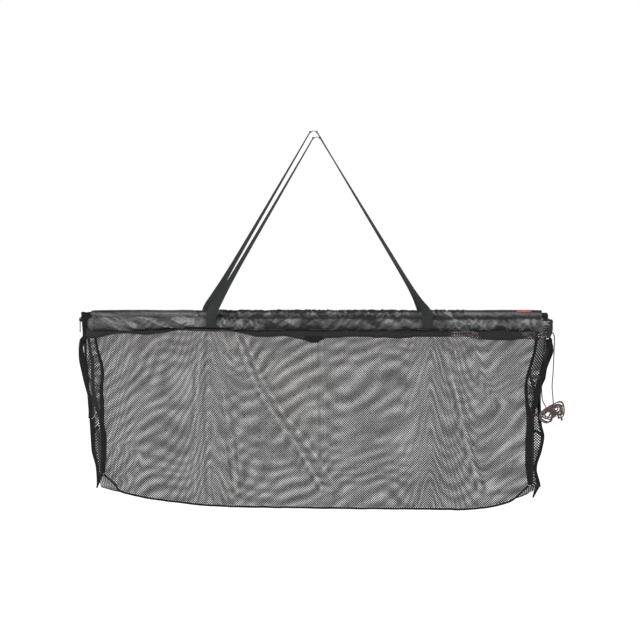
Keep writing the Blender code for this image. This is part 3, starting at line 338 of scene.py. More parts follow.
def tube(name, line, radius, look, sides=10):
    """A closed tube along a line."""
    line = np.asarray(line, dtype=float)
    turns = 2 * np.pi * np.arange(sides) / sides
    circle = np.stack([np.cos(turns), np.sin(turns)], axis=1) * radius
    points = line[:, None] + circle @ np.stack(tube_frames(line), axis=1)
    cloth = [[(run, turn, 0.0) for turn in turns] for run in run_along(line)]
    return add_mesh(name, points, closed_faces(len(line), sides), look, cloth, 180.0)


def sheet_mesh(name, points, look, cloth):
    """A single layer through a grid of points, rows by columns."""
    return add_mesh(name, points, grid_faces(*points.shape[:2]), look, cloth, 180.0)


def ribbon(name, points, thickness, look, smooth=50.0):
    """A closed band of even thickness about a grid of points."""
    points = np.asarray(points, dtype=float)
    rows, columns = points.shape[:2]
    normal = np.cross(np.gradient(points, axis=1), np.gradient(points, axis=0))
    normal /= np.maximum(np.linalg.norm(normal, axis=2), 1e-9)[:, :, None]
    count = rows * columns
    faces = grid_faces(rows, columns)
    faces += [tuple(count + k for k in face[::-1]) for face in faces]
    last = count - columns
    rims = [(r * columns, (r + 1) * columns) for r in range(rows - 1)]
    rims += [((r + 2) * columns - 1, (r + 1) * columns - 1) for r in range(rows - 1)]
    rims += [(c + 1, c) for c in range(columns - 1)]
    rims += [(last + c, last + c + 1) for c in range(columns - 1)]
    faces += [(a, b, count + b, count + a) for a, b in rims]
    cloth = cloth_of(points)
    both = [points + normal * thickness / 2, points - normal * thickness / 2]
    return add_mesh(name, np.stack(both), faces, look, np.stack([cloth, cloth]), smooth)


def cloth_of(points):
    """Coordinates across and down a grid, in metres, from its own lengths."""
    rows, columns = points.shape[:2]
    u = np.zeros((rows, columns))
    v = np.zeros((rows, columns))
    u[:, 1:] = np.cumsum(np.linalg.norm(np.diff(points, axis=1), axis=2), axis=1)
    v[1:, :] = np.cumsum(np.linalg.norm(np.diff(points, axis=0), axis=2), axis=0)
    return xyz(u, v, 0.0)


def stitches(name, lines, look, pitch=0.0030, share=0.65, radius=0.00028):
    """Rows of short thread stitches along lines, as one object."""
    points = []
    faces = []
    cloth = []
    sides = 5
    rings = ((0.0, 0.55), (0.3, 1.0), (0.7, 1.0), (1.0, 0.55))
    turns = 2 * np.pi * np.arange(sides) / sides
    one_stitch = closed_faces(len(rings), sides)
    for line in lines:
        line = evenly(line, pitch)
        for start, end in zip(line[:-1], line[1:]):
            reach = (end - start) * share
            length = np.linalg.norm(reach)
            side = np.cross(reach / length, (0.31, 0.87, 0.38))
            side /= np.linalg.norm(side)
            other = np.cross(reach / length, side)
            faces += [tuple(len(points) + k for k in face) for face in one_stitch]
            for part, size in rings:
                for turn in turns:
                    offset = side * math.cos(turn) + other * math.sin(turn)
                    points.append(start + reach * part + offset * radius * size)
                    cloth.append((length * part, turn, 0.0))
    return add_mesh(name, points, faces, look, cloth, 180.0)


# Materials


class Value:
    """A number in a material's node tree, so that what is worked out from it reads as a sum."""

    def __init__(self, look, socket):
        self.look = look
        self.socket = socket

    def __add__(self, other):
        return self.look.calc("ADD", self, other)

    def __sub__(self, other):
        return self.look.calc("SUBTRACT", self, other)

    def __mul__(self, other):
        return self.look.calc("MULTIPLY", self, other)


class Look:
    """A material that is put together node by node."""

    def __init__(self, name, colour, roughness, metallic=0.0, specular=0.5, sheen=0.0):
        self.made = bpy.data.materials.new(name)
        self.made.use_nodes = True
        self.tree = self.made.node_tree
        self.shader = self.tree.nodes["Principled BSDF"]
        values = {"Base Color": (*colour, 1.0), "Roughness": roughness, "Metallic": metallic,
                  "Specular IOR Level": specular, "Sheen Weight": sheen, "Sheen Roughness": 0.4}
        for key, value in values.items():
            self.shader.inputs[key].default_value = value

    def put(self, socket, value):
        if isinstance(value, Value):
            value = value.socket
        if isinstance(value, bpy.types.NodeSocket):
            self.tree.links.new(value, socket)
        else:
            socket.default_value = value

    def node(self, kind, *values, **settings):
        """A new node with its first inputs filled in."""
        made = self.tree.nodes.new(kind)
        for key, value in settings.items():
            setattr(made, key, value)
        for socket, value in zip(made.inputs, values):
            self.put(socket, value)
        return made

    def calc(self, operation, *values):
        return Value(self, self.node("ShaderNodeMath", *values, operation=operation).outputs[0])

    def highest(self, a, b):
        return self.calc("MAXIMUM", a, b)

    def cloth(self):
        """The cloth's own coordinates as a vector."""
        return self.node("ShaderNodeAttribute", attribute_name="cloth").outputs["Vector"]

    def place(self):
        """The piece's own place in metres."""
        return self.node("ShaderNodeTexCoord").outputs["Object"]

    def axes(self, vector):
        return [Value(self, socket) for socket in self.node("ShaderNodeSeparateXYZ", vector).outputs]

    def join(self, x, y, z=0.0):
        return self.node("ShaderNodeCombineXYZ", x, y, z).outputs[0]

    def noise(self, vector, scale, detail=2.0, roughness=0.5):
        made = self.node("ShaderNodeTexNoise")
        values = {"Vector": vector, "Scale": scale, "Detail": detail, "Roughness": roughness}
        for key, value in values.items():
            self.put(made.inputs[key], value)
        return Value(self, made.outputs[0])

    def span(self, value, low, high, start=0.0, end=1.0):
        return Value(self, self.node("ShaderNodeMapRange", value, low, high, start, end).outputs[0])

    def blend(self, share, one, two):
        made = self.node("ShaderNodeMix", data_type="RGBA")
        self.put(made.inputs[0], share)
        for socket, colour in ((made.inputs[6], one), (made.inputs[7], two)):
            self.put(socket, (*colour, 1.0) if isinstance(colour, tuple) else colour)
        return made.outputs[2]

    def colour(self, value):
        self.put(self.shader.inputs["Base Color"], value)

    def rough(self, value):
        self.put(self.shader.inputs["Roughness"], value)

    def bump(self, height, strength):
        """Relief from a height in metres."""
        made = self.node("ShaderNodeBump")
        for key, value in {"Strength": strength, "Distance": 1.0, "Height": height}.items():
            self.put(made.inputs[key], value)
        self.put(self.shader.inputs["Normal"], made.outputs[0])

    def creases(self, u, v, angle, along, across):
        """Noise drawn out along one direction, from 0 to 1."""
        c = math.cos(math.radians(angle))
        k = math.sin(math.radians(angle))
        one = u * (c * along) + v * (k * along)
        two = v * (c * across) - u * (k * across)
        return self.noise(self.join(one, two), 1.0, 2.0, 0.55)

    def wave(self, value, period):
        """A wave from 0 to 1 with a period in metres."""
        return self.calc("SINE", value * (2 * math.pi / period)) * 0.5 + 0.5

    def fold(self, value, period):
        """A triangle wave from 0 to 1 with a period in metres."""
        return self.calc("PINGPONG", value * (2 / period), 1.0)


def shade(colour, factor):
    """A colour made darker or paler."""
    return tuple(min(1.0, part * factor) for part in colour)


def coated_cloth(name, colour, shine):
    """Coated nylon: a fine plain weave under a thin silvery film, creased and rubbed.

    The cloth's third coordinate is painted shade and light: below 0 the colour is painted darker, as shade,
    and the cloth is rougher; above 0 it is painted paler, as light, and from 0.1 up it takes painted silvery
    highlights along its creases and sharper crease relief.
    """
    look = Look(name, colour, shine, specular=0.70, sheen=0.04)
    # kind is the painted shade and light that the sleeves give the cloth.
    u, v, kind = look.axes(look.cloth())
    # crisp is where the painted light is strong enough for painted silvery highlights and sharper crease
    # relief.
    crisp = look.span(kind, 0.10, 0.55)
    weave = look.wave(u, 0.0009) * look.wave(v, 0.0009)
    patches = look.noise(look.cloth(), 38.0, 4.0, 0.6)
    fine = look.noise(look.cloth(), 420.0, 2.0, 0.6)
    soft = look.creases(u, v, 24.0, 20.0, 105.0)
    steep = look.creases(u, v, -50.0, 60.0, 150.0)
    sharp = look.creases(u, v, 54.0, 48.0, 135.0)
    soft_line, steep_line, sharp_line = [
        look.span(look.calc("ABSOLUTE", crease - 0.5), 0.0, wide, 1.0, 0.0)
        for crease, wide in ((soft, 0.07), (steep, 0.07), (sharp, 0.065))]
    # The creases' noise, which also makes their relief, paints the colour paler on the relief's crests, as
    # light. The patches among it are random tone.
    hills = look.span(soft, 0.36, 0.64) + look.span(steep, 0.36, 0.64) + look.span(patches, 0.32, 0.70)
    tone = hills * 0.30 + fine * 0.10
    # Painted shade and light: the creases' painted shading above, the painted shade and light in the cloth's
    # third coordinate, and painted highlights along the soft and steep crease lines.
    level = (tone - 0.58) * 0.85 + kind + look.highest(soft_line, steep_line) * 0.28
    dark = look.blend(look.span(level, -1.0, 0.0), shade(colour, 0.10), colour)
    body = look.blend(look.span(level, 0.0, 1.0), dark, shade(colour, 2.4))
    # Painted highlights in light grey along the sharp and steep crease lines, where crisp allows.
    painted_crease_highlight = look.highest(sharp_line, steep_line) * crisp * 0.85
    look.colour(look.blend(painted_crease_highlight, body, (0.44, 0.44, 0.44)))
    dull = look.span(kind, -0.9, 0.0, 0.30, 0.0)
    look.rough(look.span(patches, 0.3, 0.7, shine + 0.08, shine - 0.06) + dull)
    relief = soft * 0.0080 + steep * 0.0050 + sharp * crisp * 0.0070
    look.bump(relief + weave * 0.00004 + fine * 0.00025, 0.8)
    return look.made


def webbing_look(name, colour):
    """Heavy woven webbing: diagonal ribs, thread to thread, with paler worn patches."""
    look = Look(name, colour, 0.74, specular=0.32, sheen=0.15)
    u, v, _ = look.axes(look.cloth())
    ribs = look.wave(look.calc("ABSOLUTE", u) + v * 0.8, 0.0024)
    height = ribs * 0.7 + look.wave(v, 0.0011) * 0.3
    fuzz = look.noise(look.cloth(), 900.0, 2.0, 0.7)
    wear = look.noise(look.cloth(), 30.0, 3.0, 0.6)
    tone = height * 0.55 + fuzz * 0.25 + wear * 0.25
    look.colour(look.blend(look.span(tone, 0.2, 0.85), shade(colour, 0.55), shade(colour, 1.75)))
    look.bump(height * 0.00035, 0.8)
    return look.made


def tape_look(name, colour, period=0.0014):
    """Narrow grosgrain tape: cross ribs, a dull, slightly uneven black and pale flecks."""
    look = Look(name, colour, 0.85, specular=0.25, sheen=0.12)
    _, v, _ = look.axes(look.cloth())
    fuzz = look.noise(look.cloth(), 700.0, 3.0, 0.7)
    dirt = look.noise(look.cloth(), 45.0, 3.0, 0.6)
    tone = look.span(fuzz * 0.5 + dirt * 0.5, 0.3, 0.72)
    body = look.blend(tone, shade(colour, 0.6), shade(colour, 1.9))
    flecks = look.span(look.noise(look.cloth(), 300.0, 1.0, 0.5), 0.56, 0.68, 0.0, 0.8)
    look.colour(look.blend(flecks, body, shade(colour, 3.6)))
    look.bump(look.wave(v, period) * 0.0003, 0.7)
    return look.made


def net_look(name, colour, pitch, strand, opening=0.0, unevenness=1.0, knots=0.0):
    """Knitted net: two families of threads crossing on the slant, open between them.

    Where the cloth's third coordinate is 1, the threads are thinner by the share called opening.
    """
    look = Look(name, colour, 0.62, specular=0.35, sheen=0.1)
    u, v, worn = look.axes(look.cloth())
    slant = math.sqrt(0.5)
    one = look.fold((u + v) * slant, pitch)
    two = look.fold((u - v) * slant, pitch)
    broad = look.noise(look.cloth(), 11.0, 1.0, 0.5) - 0.5
    close = look.noise(look.cloth(), 27.0, 2.0, 0.5) - 0.5
    cover = look.highest(broad * (1.1 * unevenness) + close * (0.6 * unevenness) + 1.0, 0.80)
    edge = cover * (strand / pitch) * (worn * -opening + 1.0)
    soft = 0.08
    low = edge - soft
    high = edge + soft
    threads = look.highest(look.span(one, low, high, 1.0, 0.0), look.span(two, low, high, 1.0, 0.0))
    look.put(look.shader.inputs["Alpha"], threads)
    height = look.highest(look.span(one, 0.0, edge, 1.0, 0.0), look.span(two, 0.0, edge, 1.0, 0.0))
    twist = look.wave(u + v * 0.6, 0.0008)
    tone = look.noise(look.cloth(), 25.0, 3.0, 0.6) * 0.6 + twist * 0.4
    body = look.blend(tone, shade(colour, 0.7), shade(colour, 1.5))
    if knots:
        crossing = look.span(one, 0.35, 0.55, 1.0, 0.0) * look.span(two, 0.35, 0.55, 1.0, 0.0)
        body = look.blend(crossing * knots, body, shade(colour, 5.0))
    look.colour(body)
    look.bump((height + twist * 0.2) * 0.0005, 0.5)
    return look.made


def braid_look(name, colour, fleck, amount):
    """Braided cord: strands crossing round it, with pale flecks woven in."""
    look = Look(name, colour, 0.72, specular=0.3, sheen=0.15)
    run, turn, _ = look.axes(look.cloth())
    around = turn * 0.0012
    strands = look.highest(look.wave(run + around, 0.0019), look.wave(run - around, 0.0019))
    cells = look.noise(look.join(run * 420.0, turn * 1.2), 1.0, 1.0, 0.5)
    flecks = look.span(cells, 0.60 - amount * 0.2, 0.66 - amount * 0.2)
    look.colour(look.blend(flecks, look.blend(strands, shade(colour, 0.6), shade(colour, 1.5)), fleck))
    look.bump(strands * 0.0003, 0.8)
    return look.made


def foam_look(name):
    """Closed-cell foam: small dimples and a dull skin."""
    look = Look(name, (0.20, 0.20, 0.20), 0.85, specular=0.3)
    cells = look.node("ShaderNodeTexVoronoi", look.place())
    cells.inputs["Scale"].default_value = 700.0
    patches = look.noise(look.place(), 40.0, 3.0, 0.6)
    look.colour(look.blend(patches, (0.15, 0.15, 0.15), (0.26, 0.26, 0.26)))
    look.bump(Value(look, cells.outputs["Distance"]) * 0.0004, 0.6)
    return look.made


def metal_look(name, colour, roughness, metallic, brushed):
    """Metal with fine brushing, or thin paint that has been scuffed."""
    look = Look(name, colour, roughness, metallic=metallic)
    x, y, z = look.axes(look.place())
    lines = look.noise(look.join(x * brushed, y * 900.0, z * 900.0), 1.0, 3.0, 0.6)
    scuffs = look.noise(look.place(), 160.0, 3.0, 0.6)
    look.colour(look.blend(scuffs, shade(colour, 0.75), shade(colour, 1.35)))
    look.rough(look.span(lines, 0.2, 0.8, roughness - 0.10, roughness + 0.14))
    look.bump(lines * 0.00006, 0.5)
    return look.made


def plastic_look(name):
    """Moulded black plastic with a fine spark texture."""
    look = Look(name, (0.012, 0.012, 0.013), 0.48, specular=0.45)
    grain = look.noise(look.place(), 1400.0, 2.0, 0.6)
    scuffs = look.span(look.noise(look.place(), 120.0, 4.0, 0.65), 0.45, 0.75)
    look.colour(look.blend(scuffs, (0.009, 0.009, 0.010), (0.030, 0.030, 0.032)))
    look.rough(look.span(grain, 0.2, 0.8, 0.40, 0.58))
    look.bump(grain * 0.00008, 0.6)
    return look.made


def thread_look(name, colour):
    """Sewing thread with its twist."""
    look = Look(name, colour, 0.7, specular=0.3)
    run, turn, _ = look.axes(look.cloth())
    twist = look.wave(run + turn * 0.0001, 0.0006)
    look.colour(look.blend(twist, shade(colour, 0.6), colour))
    look.bump(twist * 0.00008, 0.6)
    return look.made


CLOTH = coated_cloth("coated_cloth_look", (0.120, 0.119, 0.124), 0.38)
WEBBING = webbing_look("webbing_look", (0.036, 0.038, 0.039))
TAPE = tape_look("tape_look", (0.013, 0.013, 0.013))
NET_PITCH = 0.0042
NET = net_look("net_look", (0.092, 0.0885, 0.087), NET_PITCH, 0.00190, 0.5, 0.5)
END_NET = net_look("end_net_look", (0.042, 0.041, 0.040), 0.0050, 0.00225, 0.0, 0.6)
HEM_NET = net_look("hem_net_look", (0.014, 0.014, 0.015), 0.0046, 0.00345, 0.60, 0.6, 1.0)
CORD = braid_look("cord_look", (0.110, 0.052, 0.052), (0.30, 0.27, 0.25), 0.5)
RED_CORD = braid_look("red_cord_look", (0.220, 0.020, 0.032), (0.40, 0.10, 0.11), 0.2)
FOAM = foam_look("foam_look")
ALLOY = metal_look("alloy_look", (0.60, 0.61, 0.62), 0.32, 1.0, 40.0)
PAINTED = metal_look("zip_metal_look", (0.014, 0.014, 0.015), 0.55, 0.2, 900.0)
PLASTIC = plastic_look("plastic_look")
TAG = tape_look("tag_look", (0.700, 0.150, 0.120), 0.0010)
THREAD = thread_look("thread_look", (0.050, 0.050, 0.052))
PALE_THREAD = thread_look("pale_thread_look", (0.40, 0.40, 0.41))


def settle(piece, slot, motion, *nodes):
    """Say which CAD nodes a piece stands for and what it moves with. The slot argument is not used."""
    if nodes:
        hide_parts(*nodes)
    if callable(motion):
        motion(piece)
    else:
        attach(piece, motion)
    return piece


def sew(name, lines, slot, motion, look=THREAD, **sizes):
    settle(stitches(name, lines, look, **sizes), slot, motion)


# Cords

HANK_CENTRE = (0.6000, -0.0185, -0.6985)
HANK_TURN = 5.0
HANK_BEND = 55.0
HANK_STRAIGHT = 0.0072
HANK_BEND_RUN = 0.0080
HANK_LAYERS = 4
HANK_TURNS = 2
HANK_START = 0.8467
HANK_REACH = 0.0205
HANK_REACH_STEP = 0.0039
HANK_BREADTH = 0.0074
HANK_BREADTH_STEP = 0.0088
HANK_WAIST = 0.45
HANK_SWELL = 1.50
HANK_LAYER_STEP = 0.0036
LOOP_POINTS = 24
LEAD_IN = ((0.0118, 0.0200), (0.0110, 0.0140), (0.0100, 0.0070), (0.0092, 0.0010), (0.0108, -0.0064))
LEAD_LIFT = 0.0044
HANK_TAIL = ((0.0200, -0.0142, 0.0004), (0.0232, -0.0175, 0.0010), (0.0240, -0.0220, 0.0014))
WRAP_TURNS = 3.25
WRAP_ACROSS = 0.0152
WRAP_THROUGH = 0.0093
WRAP_SQUARE = 6.0
WRAP_STEP = 0.0037
WRAP_TAIL = ((0.0010, -0.0070, 0.0004), (0.0022, -0.0120, 0.0009), (0.0032, -0.0170, 0.0010))
KNOT_RADIUS = 0.0032
KNOT_TURNS = 2.5


def hem_low(bar):
    """The height of a hem's plain lower edge."""
    return bar[1] - SLEEVE_RADIUS - GAP - HEM_HEIGHT


def channel_z(bar):
    return hem_low(bar) + CHANNEL_RISE


def hank_place(u, v, w):
    """From the hank's own frame, bent at its waist, to the world."""
    bend = math.radians(HANK_BEND) / 2
    middle = math.radians(HANK_TURN) + bend
    size = abs(u)
    way = math.copysign(1.0, u)
    in_bend = min(max(size - HANK_STRAIGHT, 0.0), HANK_BEND_RUN)
    beyond = max(size - HANK_STRAIGHT - HANK_BEND_RUN, 0.0)
    turned = bend * in_bend / HANK_BEND_RUN
    rate = HANK_BEND_RUN / bend
    forward = min(size, HANK_STRAIGHT) + rate * math.sin(turned) + beyond * math.cos(turned)
    aside = rate * (1 - math.cos(turned)) + beyond * math.sin(turned)
    lean = -way * turned
    local_u = way * forward - v * math.sin(lean)
    local_v = -aside + v * math.cos(lean)
    x = HANK_CENTRE[0] + local_u * math.cos(middle) - local_v * math.sin(middle)
    z = HANK_CENTRE[2] + local_u * math.sin(middle) + local_v * math.cos(middle)
    return (x, HANK_CENTRE[1] - w, z)


def loop_point(turn):
    """The loops' centre line after a count of turns, spiralling in and out by layers."""
    layer = min(int(turn / HANK_TURNS), HANK_LAYERS - 1)
    inside = turn - layer * HANK_TURNS
    ring = HANK_TURNS - inside if layer % 2 == 0 else inside
    climb = 0.0
    until_next = HANK_TURNS - inside
    if layer < HANK_LAYERS - 1 and until_next < 0.25:
        climb = 0.5 - until_next * 2
    if layer > 0 and inside < 0.25:
        climb = inside * 2 - 0.5
    phase = 2 * math.pi * (turn + HANK_START)
    reach = (HANK_REACH + ring * HANK_REACH_STEP) * (1.10 + 0.16 * math.sin(1.9 * turn))
    breadth = (HANK_BREADTH + ring * HANK_BREADTH_STEP) * (1.22 + 0.30 * math.sin(1.3 * turn + 0.8))
    swell = HANK_WAIST + (1 - HANK_WAIST) * HANK_SWELL * math.cos(phase) ** 2
    w = (layer + climb - (HANK_LAYERS - 1) / 2) * HANK_LAYER_STEP
    lift = LEAD_LIFT * max(0.0, 1 - turn / 0.2)
    drift = 0.0032 * math.sin(0.9 * turn + 2.0)
    w = w + 0.0022 * math.sin(2.3 * turn)
    return (reach * math.cos(phase) + drift, breadth * math.sin(phase) * swell - 0.6 * drift, w - lift)


def hank_line():
    loops = [loop_point(k / LOOP_POINTS) for k in range(HANK_LAYERS * HANK_TURNS * LOOP_POINTS + 1)]
    back = loops[0][2]
    lead = smooth_route([*[(u, v, back) for u, v in LEAD_IN], loops[0]], TAIL_STEP)[:-1]
    end = loops[-1]
    tail = smooth_route([end, *[(u, v, end[2] + w) for u, v, w in HANK_TAIL]], TAIL_STEP)
    return [hank_place(*p) for p in [*lead, *loops, *tail[1:]]]


def wrap_line():
    steps = round(WRAP_TURNS * LOOP_POINTS)
    points = []
    for k in range(steps + 1):
        turn = 2 * math.pi * k / LOOP_POINTS
        c = math.cos(turn)
        s = math.sin(turn)
        size = (abs(c) ** WRAP_SQUARE + abs(s) ** WRAP_SQUARE) ** (-1 / WRAP_SQUARE)
        points.append((WRAP_STEP * (k - steps / 2) / LOOP_POINTS, WRAP_ACROSS * size * c,
                       WRAP_THROUGH * size * s))
    end = points[-1]
    tail = [end, *[(end[0] + u, end[1] + v, end[2] + w) for u, v, w in WRAP_TAIL]]
    points += list(smooth_route(tail, TAIL_STEP)[1:])
    return [hank_place(*p) for p in points]


def past(line, length):
    """The point a length before a line's first point."""
    first = np.array(line[0]) - np.array(line[1])
    return np.array(line[0]) + first / np.linalg.norm(first) * length


def led_in(route, coil):
    """One evenly spaced line along a route and on round the coil that it leads into."""
    lead = smooth_route([*route, past(coil, 2 * CORD_DIAMETER), coil[0]], CORD_STEP)[:-1]
    return evenly(np.concatenate([lead, np.array(coil)]), CORD_STEP * 0.75)


def add_cord(name, line, look, sides, nodes, knot=None):
    """A free cord along its centre line, with a stopper knot if it ends in one."""
    cord = tube(name, line, CORD_RADIUS, look, sides)
    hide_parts(*nodes)
    if knot:
        made = knot_mesh(f"{knot}_stopper_knot", line[-1], line[-1] - line[-3])
        settle(made, "cord", "bag", f"cord_knot_{knot}")
    return cord


def knot_mesh(name, end, along):
    """A stopper knot: a cord wound round itself and drawn tight, as one tube."""
    along = np.array(along) / np.linalg.norm(along)
    across = np.cross(along, (0.0, 1.0, 0.0))
    across /= np.linalg.norm(across)
    other = np.cross(along, across)
    line = []
    for share in np.linspace(0.0, 1.0, 61):
        turn = 2 * math.pi * KNOT_TURNS * share
        radius = (KNOT_RADIUS - CORD_RADIUS * 0.75) * (0.55 + 0.45 * math.sin(math.pi * share))
        spot = end + along * (0.0006 + 2.0 * KNOT_RADIUS * share)
        line.append(spot + across * radius * math.cos(turn) + other * radius * math.sin(turn))
    return tube(name, line, CORD_RADIUS * 0.82, CORD, 8)


def make_cords():
    end_x = HEM_HALF + GAP
    out_x = end_x + CORD_DIAMETER
    front = (FRONT_BAR[0], channel_z(FRONT_BAR))
    rear = (REAR_BAR[0], channel_z(REAR_BAR))
    left = (
        (-end_x, *front), (-out_x, *front),
        (-0.5850, -0.0170, -0.5030), (-0.5960, -0.0155, -0.5075),
        (-0.6040, -0.0120, -0.5220), (-0.6066, -0.0070, -0.5400), (-0.6066, -0.0005, -0.5530),
        (-0.6055, 0.0070, -0.5560), (-0.6020, 0.0140, -0.5450), (-0.5965, 0.0180, -0.5220),
        (-0.5900, 0.0185, -0.5000), (-0.5820, 0.0180, -0.4895),
        (-out_x, *rear), (-end_x, *rear),
    )
    arc = add_cord("left_cord_arc", smooth_route(left, CORD_STEP), RED_CORD, 12, ["cord_left_arc"])
    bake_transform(arc)

    drop = (
        (end_x, *front), (out_x, *front),
        (0.5830, -0.0165, -0.4990), (0.5930, -0.0140, -0.4958),
        (0.6020, -0.0125, -0.4975), (0.6060, -0.0120, -0.5080), (0.6060, -0.0120, -0.5250),
        (0.6050, -0.0120, -0.5600), (0.6035, -0.0115, -0.6000), (0.6015, -0.0100, -0.6350),
    )
    spare = add_cord("spare_cord_hank", led_in(drop, hank_line()), CORD, 10,
                     ["cord_drop", "cord_hank"], "front")
    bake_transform(spare)

    back = (
        (end_x, *rear), (out_x, *rear),
        (0.5800, 0.0178, -0.4900), (0.5835, 0.0180, -0.4970),
        (0.5845, 0.0180, -0.5200), (0.5815, 0.0165, -0.5600), (0.5775, 0.0140, -0.6000),
        (0.5762, 0.0090, -0.6300), (0.5765, 0.0030, -0.6550), (0.5785, -0.0050, -0.6720),
    )
    tie = add_cord("return_cord_tie", led_in(back, wrap_line()), CORD, 10,
                   ["cord_return", "cord_wrap"], "rear")
    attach(tie, "bag")


# Places on the sack's ends and walls


def smoothed(rows, column):
    """A station column as a table at each millimetre, with its corners rounded."""
    heights = np.arange(-0.96, -0.40, 0.001)
    return heights, rounded(read_table(heights, [(row[0], row[column]) for row in rows]), 24, 8.0)


TABLES = {(hand, column): smoothed(rows, column)
          for hand, rows in ((-1, LEFT_STATIONS), (1, RIGHT_STATIONS)) for column in range(1, 6)}


def station(z, column, hand):
    heights, values = TABLES[(hand, column)]
    return np.interp(z, heights, values)


# How far the right end's fold bulges out of its plain line, by height
FOLD_OUT = (
    (-0.5200, 0.0), (-0.5300, 0.0020), (-0.5453, 0.0034), (-0.5657, 0.0012), (-0.5913, 0.0),
    (-0.6168, 0.0040), (-0.6423, 0.0), (-0.6679, 0.0006), (-0.7036, 0.0020), (-0.7394, 0.0026),
    (-0.7598, 0.0060), (-0.7802, 0.0060), (-0.8057, 0.0056), (-0.8313, 0.0022), (-0.8568, 0.0012),
    (-0.8823, 0.0045), (-0.9050, 0.0060),
)

# How far the rear wall's edge lies outwards of the front wall's, by height
REAR_OUT = {
    -1: ((-0.5096, 0.0208), (-0.5402, 0.0228), (-0.5811, 0.0262), (-0.6040, 0.0292), (-0.6321, 0.0245),
         (-0.6729, 0.0215), (-0.7189, 0.0060), (-0.7700, 0.0)),
    1: ((-0.5096, 0.0038), (-0.5913, 0.0048), (-0.6168, 0.0130), (-0.6423, 0.0240), (-0.6679, 0.0250),
        (-0.6883, 0.0190), (-0.7036, 0.0128), (-0.7190, 0.0070), (-0.7394, 0.0062), (-0.7802, 0.0070),
        (-0.8057, 0.0092), (-0.8313, 0.0086), (-0.8568, 0.0076), (-0.8823, 0.0040), (-0.8950, 0.0)),
}


def binding_x(z, hand, side=-1):
    """Where a wall's side binding begins; side is -1 for the front wall, 1 for the rear one."""
    place = station(z, 1, hand)
    return place + read_table(z, REAR_OUT[hand]) if side > 0 else place


def binding_width(z, hand):
    return station(z, 2, hand)


def fold_x(z, hand):
    """How far out the fold of an end lies. The zip, on the left end's upper part, is straight."""
    if hand > 0:
        return station(z, 3, hand) + read_table(z, FOLD_OUT)
    ends = [(row[0], row[3]) for row in (LEFT_STATIONS[0], LEFT_STATIONS[7])]
    return np.where(np.asarray(z) > ends[1][0], read_table(z, ends), station(z, 3, hand))


def tape_width(z, hand):
    return station(z, 4, hand)


def edge_gap(z, hand):
    return station(z, 5, hand)


def tape_gap(z, hand):
    return np.minimum(0.0085, edge_gap(z, hand) * 0.7)


def bottom_line(count):
    """The panels' lower edge as X and Z, crowded towards its ends as the CAD model's is."""
    route = [(-binding_x(BINDING_END[-1], -1), BINDING_END[-1])]
    route += list(BOTTOM_EDGE)
    route += [(binding_x(BINDING_END[1], 1), BINDING_END[1])]
    fine = smooth_route(route, 0.001)
    share = np.linspace(0.0, 1.0, count)
    crowded = share - 0.6 * np.sin(2 * np.pi * share) / (2 * np.pi)
    spots = crowded * (len(fine) - 1)
    return np.stack([np.interp(spots, np.arange(len(fine)), fine[:, k]) for k in range(2)], axis=1)


# Sleeves and the bars inside them


def turned(x, s, angle):
    """A surface place turned by an angle in degrees."""
    c = math.cos(math.radians(angle))
    k = math.sin(math.radians(angle))
    return x * c + s * k, s * c - x * k


def folds(x, s, angle, long, short, seed):
    """Long folds that run at an angle: smooth hills drawn out along one direction."""
    along, across = turned(x, s, angle)
    bend = 0.25 * short * noise(along / (long * 0.6), across / (short * 3), seed + 5)
    return noise(along / long, (across + bend) / short, seed)


def crumples(x, s, size, seed):
    """Crisp creases between flat facets, as in stiff coated cloth."""
    wx = x + 0.5 * size * noise(x / (2.2 * size), s / (2.2 * size), seed + 1)
    ws = s + 0.5 * size * noise(x / (2.2 * size), s / (2.2 * size), seed + 2)
    total = 0.0
    for k, (angle, weight) in enumerate(((38.0, 1.0), (-47.0, 0.9), (75.0, 0.55))):
        along, across = turned(wx, ws, angle)
        crease = 1 - np.abs(noise(along / (size * 1.9), across / size, seed + 10 + k))
        total = total + weight * crease**3
    return total / 1.6 - 0.45


FRONT_FEET = (-0.2680, 0.2815)     # where the straps are sewn on
REAR_FEET = (-0.2810, 0.2700)


def foot_quiet(x, feet):
    """0 beneath a strap's foot, 1 away from it."""
    near = np.minimum(np.abs(x - feet[0]), np.abs(x - feet[1]))
    return smooth_step(near, 0.012, 0.026)


# How far the front sleeve is drawn up from below near the left strap's foot
DENT = (
    (130, 0.0), (145, 0.0006), (155, 0.0020), (165, 0.0044), (175, 0.0060), (185, 0.0069), (196, 0.0071),
    (210, 0.0067), (222, 0.0056), (232, 0.0030), (240, 0.0009), (250, 0.0),
)


def dent(x, bar):
    return read_table(x, [(picture_x(px), depth) for px, depth in DENT]) if bar is FRONT_BAR else 0.0 * x


def front_wrinkles(x, s):
    """Height of the front sleeve's folds, in metres, from its run and its arc from the top."""
    left = zone(x, -0.70, -0.30, 0.03)
    ripple = zone(x, -0.27, -0.145, 0.012)
    middle = zone(x, -0.145, 0.27, 0.03)
    crisp = smooth_step(x, 0.22, 0.33)
    height = left * (0.0017 * folds(x, s, 24, 0.060, 0.0085, 3) + 0.0008 * folds(x, s, 35, 0.03, 0.005, 9))
    height = height + left * zone(x, -0.46, -0.30, 0.03) * 0.0012 * folds(x, s, -38, 0.020, 0.0060, 14)
    height = height + ripple * (0.0016 * folds(x, s, 55, 0.016, 0.0042, 21)
                                + 0.0014 * folds(x, s, -50, 0.014, 0.0045, 23))
    height = height + middle * (0.0015 * folds(x, s, 30, 0.045, 0.010, 31)
                                + 0.0012 * folds(x, s, -42, 0.022, 0.0065, 33))
    height = height + crisp * (0.0040 * crumples(x, s, 0.0150, 41) + 0.0010 * crumples(x, s, 0.006, 47))
    return 0.0008 + height


